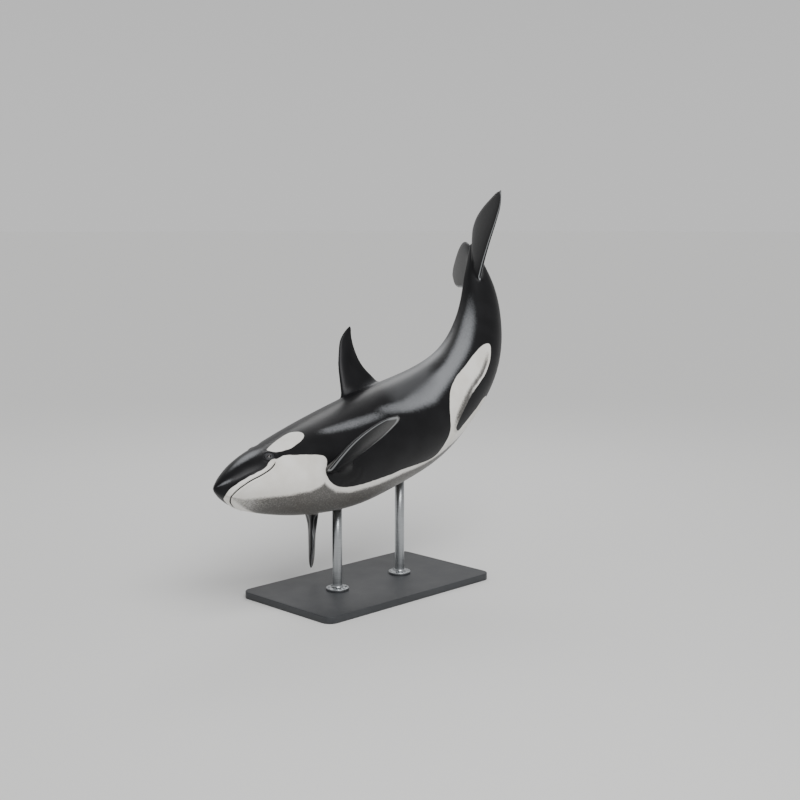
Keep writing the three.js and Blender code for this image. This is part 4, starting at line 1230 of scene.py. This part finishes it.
def wetEye():
    # Dark brown eye under a thick clear film: almost black, with one sharp highlight.
    material, tree, surface = newMaterial("wet eye")
    finish = eyeFinish
    gaze = addNode(tree, "ShaderNodeAttribute", {}, "Vector", attribute_name="gaze")
    fibres = addNode(tree, "ShaderNodeTexNoise", {"Vector": gaze, "Scale": finish["fibres"], "Detail": 3.0})
    iris, irisDark = linear(finish["iris"]), linear(finish["irisDark"])
    colour = addNode(tree, "ShaderNodeMix", {0: fibres, 6: iris, 7: irisDark}, 2, data_type="RGBA")
    # the white begins at a distance from the gaze, and the pupil ends at one
    for name, limits, squeeze in (("white", "irisEnd", 1), ("pupil", "pupilEnd", finish["pupilSqueeze"])):
        flat = addNode(tree, "ShaderNodeVectorMath", {0: gaze, 1: (1, squeeze, 0)}, operation="MULTIPLY")
        away = addNode(tree, "ShaderNodeVectorMath", {0: flat}, "Value", operation="LENGTH")
        low, high = finish[limits]
        share = addNode(tree, "ShaderNodeMapRange", {"Value": away, "From Min": low, "From Max": high})
        over = linear(finish[name])
        colour = addNode(tree, "ShaderNodeMix", {0: share, 6: colour, 7: over}, 2, data_type="RGBA")
    shader = addNode(tree, "ShaderNodeBsdfPrincipled", {
        "Base Color": colour, "Roughness": finish["roughness"], "IOR": finish["ior"],
        "Coat Weight": 1.0, "Coat Roughness": finish["coatRoughness"],
    })
    tree.links.new(shader, surface)
    return material


# Of two values one is for the low end of a pattern, one for its high end; sizes in mm
coatFinish = {
    "colour": ("#2b2d30", "#36383b"), "roughness": (0.42, 0.58),
    "colourLimits": (0.35, 0.75), "roughLimits": (0.3, 0.8),
    "peel": 2.5, "dust": 300, "relief": 0.25, "reliefDepth": 0.0006,
}
steelFinish = {
    "colour": ("#9b9ea1", "#b9bcbe"), "roughness": (0.26, 0.4), "limits": (0.3, 0.7),
    # the scratches are 2 mm apart, coarser than real brushing, so that they show in the render
    "scratch": 2, "scratchLength": 1000 / 6, "relief": 0.15, "reliefDepth": 0.0003,
}


def powderCoat():
    # Powder-coated steel: dark grey, low sheen, with the fine orange peel of baked powder.
    material, tree, surface = newMaterial("powder-coated steel")
    finish = coatFinish
    place = addNode(tree, "ShaderNodeTexCoord", {}, "Object")
    peel = addNode(tree, "ShaderNodeTexNoise", {
        "Vector": place, "Scale": 1000 / finish["peel"], "Detail": 2.0})
    dust = addNode(tree, "ShaderNodeTexNoise", {
        "Vector": place, "Scale": 1000 / finish["dust"], "Detail": 5.0})
    low, high = finish["colourLimits"]
    share = addNode(tree, "ShaderNodeMapRange", {"Value": dust, "From Min": low, "From Max": high})
    dark, light = (linear(code) for code in finish["colour"])
    colour = addNode(tree, "ShaderNodeMix", {0: share, 6: dark, 7: light}, 2, data_type="RGBA")
    (low, high), (smooth, rough) = finish["roughLimits"], finish["roughness"]
    gloss = addNode(tree, "ShaderNodeMapRange", {
        "Value": dust, "From Min": low, "From Max": high, "To Min": smooth, "To Max": rough})
    relief = addNode(tree, "ShaderNodeBump", {
        "Height": peel, "Strength": finish["relief"], "Distance": finish["reliefDepth"]})
    shader = addNode(tree, "ShaderNodeBsdfPrincipled", {
        "Base Color": colour, "Roughness": gloss, "Normal": relief})
    tree.links.new(shader, surface)
    return material


def brushedSteel():
    # Stainless tube, brushed round its axis: fine level scratches that stretch the highlights.
    material, tree, surface = newMaterial("brushed stainless steel")
    finish = steelFinish
    place = addNode(tree, "ShaderNodeTexCoord", {}, "Object")
    level, upright = 1000 / finish["scratchLength"], 1000 / finish["scratch"]
    hair = addNode(tree, "ShaderNodeMapping", {"Vector": place, "Scale": (level, level, upright)})
    scratch = addNode(tree, "ShaderNodeTexNoise", {"Vector": hair, "Scale": 1.0, "Detail": 4.0})
    (low, high), (smooth, rough) = finish["limits"], finish["roughness"]
    share = addNode(tree, "ShaderNodeMapRange", {"Value": scratch, "From Min": low, "From Max": high})
    dark, light = (linear(code) for code in finish["colour"])
    colour = addNode(tree, "ShaderNodeMix", {0: share, 6: dark, 7: light}, 2, data_type="RGBA")
    gloss = addNode(tree, "ShaderNodeMapRange", {
        "Value": scratch, "From Min": low, "From Max": high, "To Min": smooth, "To Max": rough})
    relief = addNode(tree, "ShaderNodeBump", {
        "Height": scratch, "Strength": finish["relief"], "Distance": finish["reliefDepth"]})
    shader = addNode(tree, "ShaderNodeBsdfPrincipled", {
        "Base Color": colour, "Roughness": gloss, "Metallic": 1.0, "Normal": relief})
    tree.links.new(shader, surface)
    return material


skinMaterial, eyeMaterial, coatMaterial, steelMaterial = wetSkin(), wetEye(), powderCoat(), brushedSteel()
print("materials made")

# What each piece rides on and replaces
fleshNodes = ["head", "lower_jaw", "throat", "breast", "belly", "vent", "shoulders", "back", "loin",
              "tail_stock_front", "tail_stock_rear", "fluke_left", "fluke_right", "dorsal_fin",
              "pectoral_left", "pectoral_right", "eye_patch_left", "eye_patch_right",
              "flank_patch_left", "flank_patch_right", "saddle_patch"]
pieces = [
    (skin, skinMaterial, "black_skin", fleshNodes),
    (eyes[1], eyeMaterial, "eye", ["eye_left"]),
    (eyes[-1], eyeMaterial, "eye", ["eye_right"]),
    (base, coatMaterial, "stand_paint", ["stand_base"]),
    (rods["standRodFront"], steelMaterial, "stand_steel", ["stand_rod_front"]),
    (rods["standRodRear"], steelMaterial, "stand_steel", ["stand_rod_rear"]),
]
for piece, material, slot, nodes in pieces:
    piece.data.materials.append(material)
    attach(piece, "root")
    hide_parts(*nodes)
print("pieces ride on the frame")

# Floor and light
studio = {
    "floor": "#e6e6e5", "floorRoughness": 0.9, "floorShine": 0.1, "floorRadius": 300.0, "floorSides": 96,
    # the sky is even round the horizon, where it meets the floor, and darker overhead
    "horizon": 0.712, "overhead": 0.45, "overheadFrom": 0.6,
    # soft sun: azimuth and height in degrees, strength, apparent size in degrees
    "sun": (-20, 52, 1.6, 40), "sunAway": 20,
    # softboxes: place, aimed at, size, power in watts
    "lamps": {
        "keyBox": ((-4.5, -8.5, 9.0), (0, 0, 1.8), (6.0, 3.0), 450),
        "rimBox": ((6.0, 6.0, 9.0), (0.5, 0, 2.2), (6.0, 3.0), 250),
    },
}


def aimed(name, data, place, target):
    # a lamp at a place, shining along its own -Z at the target
    lamp = bpy.data.objects.new(name, data)
    lamp.location = place
    lamp.rotation_mode = "QUATERNION"
    lamp.rotation_quaternion = (Vector(target) - Vector(place)).to_track_quat("-Z", "Y")
    bpy.context.scene.collection.objects.link(lamp)


def setStudio(look):
    # a round matt floor, an even sky, a soft sun and two softboxes
    sides = look["floorSides"]
    angle = np.radians(360 * np.arange(sides) / sides)
    rim = np.stack([np.cos(angle), np.sin(angle), np.zeros(sides)], 1) * look["floorRadius"]
    mesh = bpy.data.meshes.new("floor")
    mesh.from_pydata(rim.tolist(), [], [list(range(sides))])
    floor = bpy.data.objects.new("floor", mesh)
    bpy.context.scene.collection.objects.link(floor)
    material, tree, surface = newMaterial("matt studio floor")
    shader = addNode(tree, "ShaderNodeBsdfPrincipled", {
        "Base Color": linear(look["floor"]), "Roughness": look["floorRoughness"],
        "Specular IOR Level": look["floorShine"],
    })
    tree.links.new(shader, surface)
    mesh.materials.append(material)
    world = bpy.data.worlds.new("studio")
    world.use_nodes = True
    tree = world.node_tree
    way = addNode(tree, "ShaderNodeTexCoord", {}, "Generated")
    height = addNode(tree, "ShaderNodeSeparateXYZ", {0: way}, "Z")
    light = addNode(tree, "ShaderNodeMapRange", {
        "Value": height, "From Max": look["overheadFrom"], "To Min": look["horizon"],
        "To Max": look["overhead"],
    }, interpolation_type="SMOOTHSTEP")
    tree.links.new(light, tree.nodes["Background"].inputs["Color"])
    bpy.context.scene.world = world
    azimuth, rise, strength, spread = look["sun"]
    sun = bpy.data.lights.new("sun", "SUN")
    sun.energy, sun.angle = strength, np.radians(spread)
    a, e = np.radians(azimuth), np.radians(rise)
    toSun = np.array([np.sin(a) * np.cos(e), -np.cos(a) * np.cos(e), np.sin(e)])
    aimed("sun", sun, toSun * look["sunAway"], (0, 0, 0))
    for name, (place, target, size, power) in look["lamps"].items():
        data = bpy.data.lights.new(name, "AREA")
        data.shape = "RECTANGLE"
        data.size, data.size_y = size
        data.energy = power
        aimed(name, data, place, target)


setStudio(studio)
print("studio set")
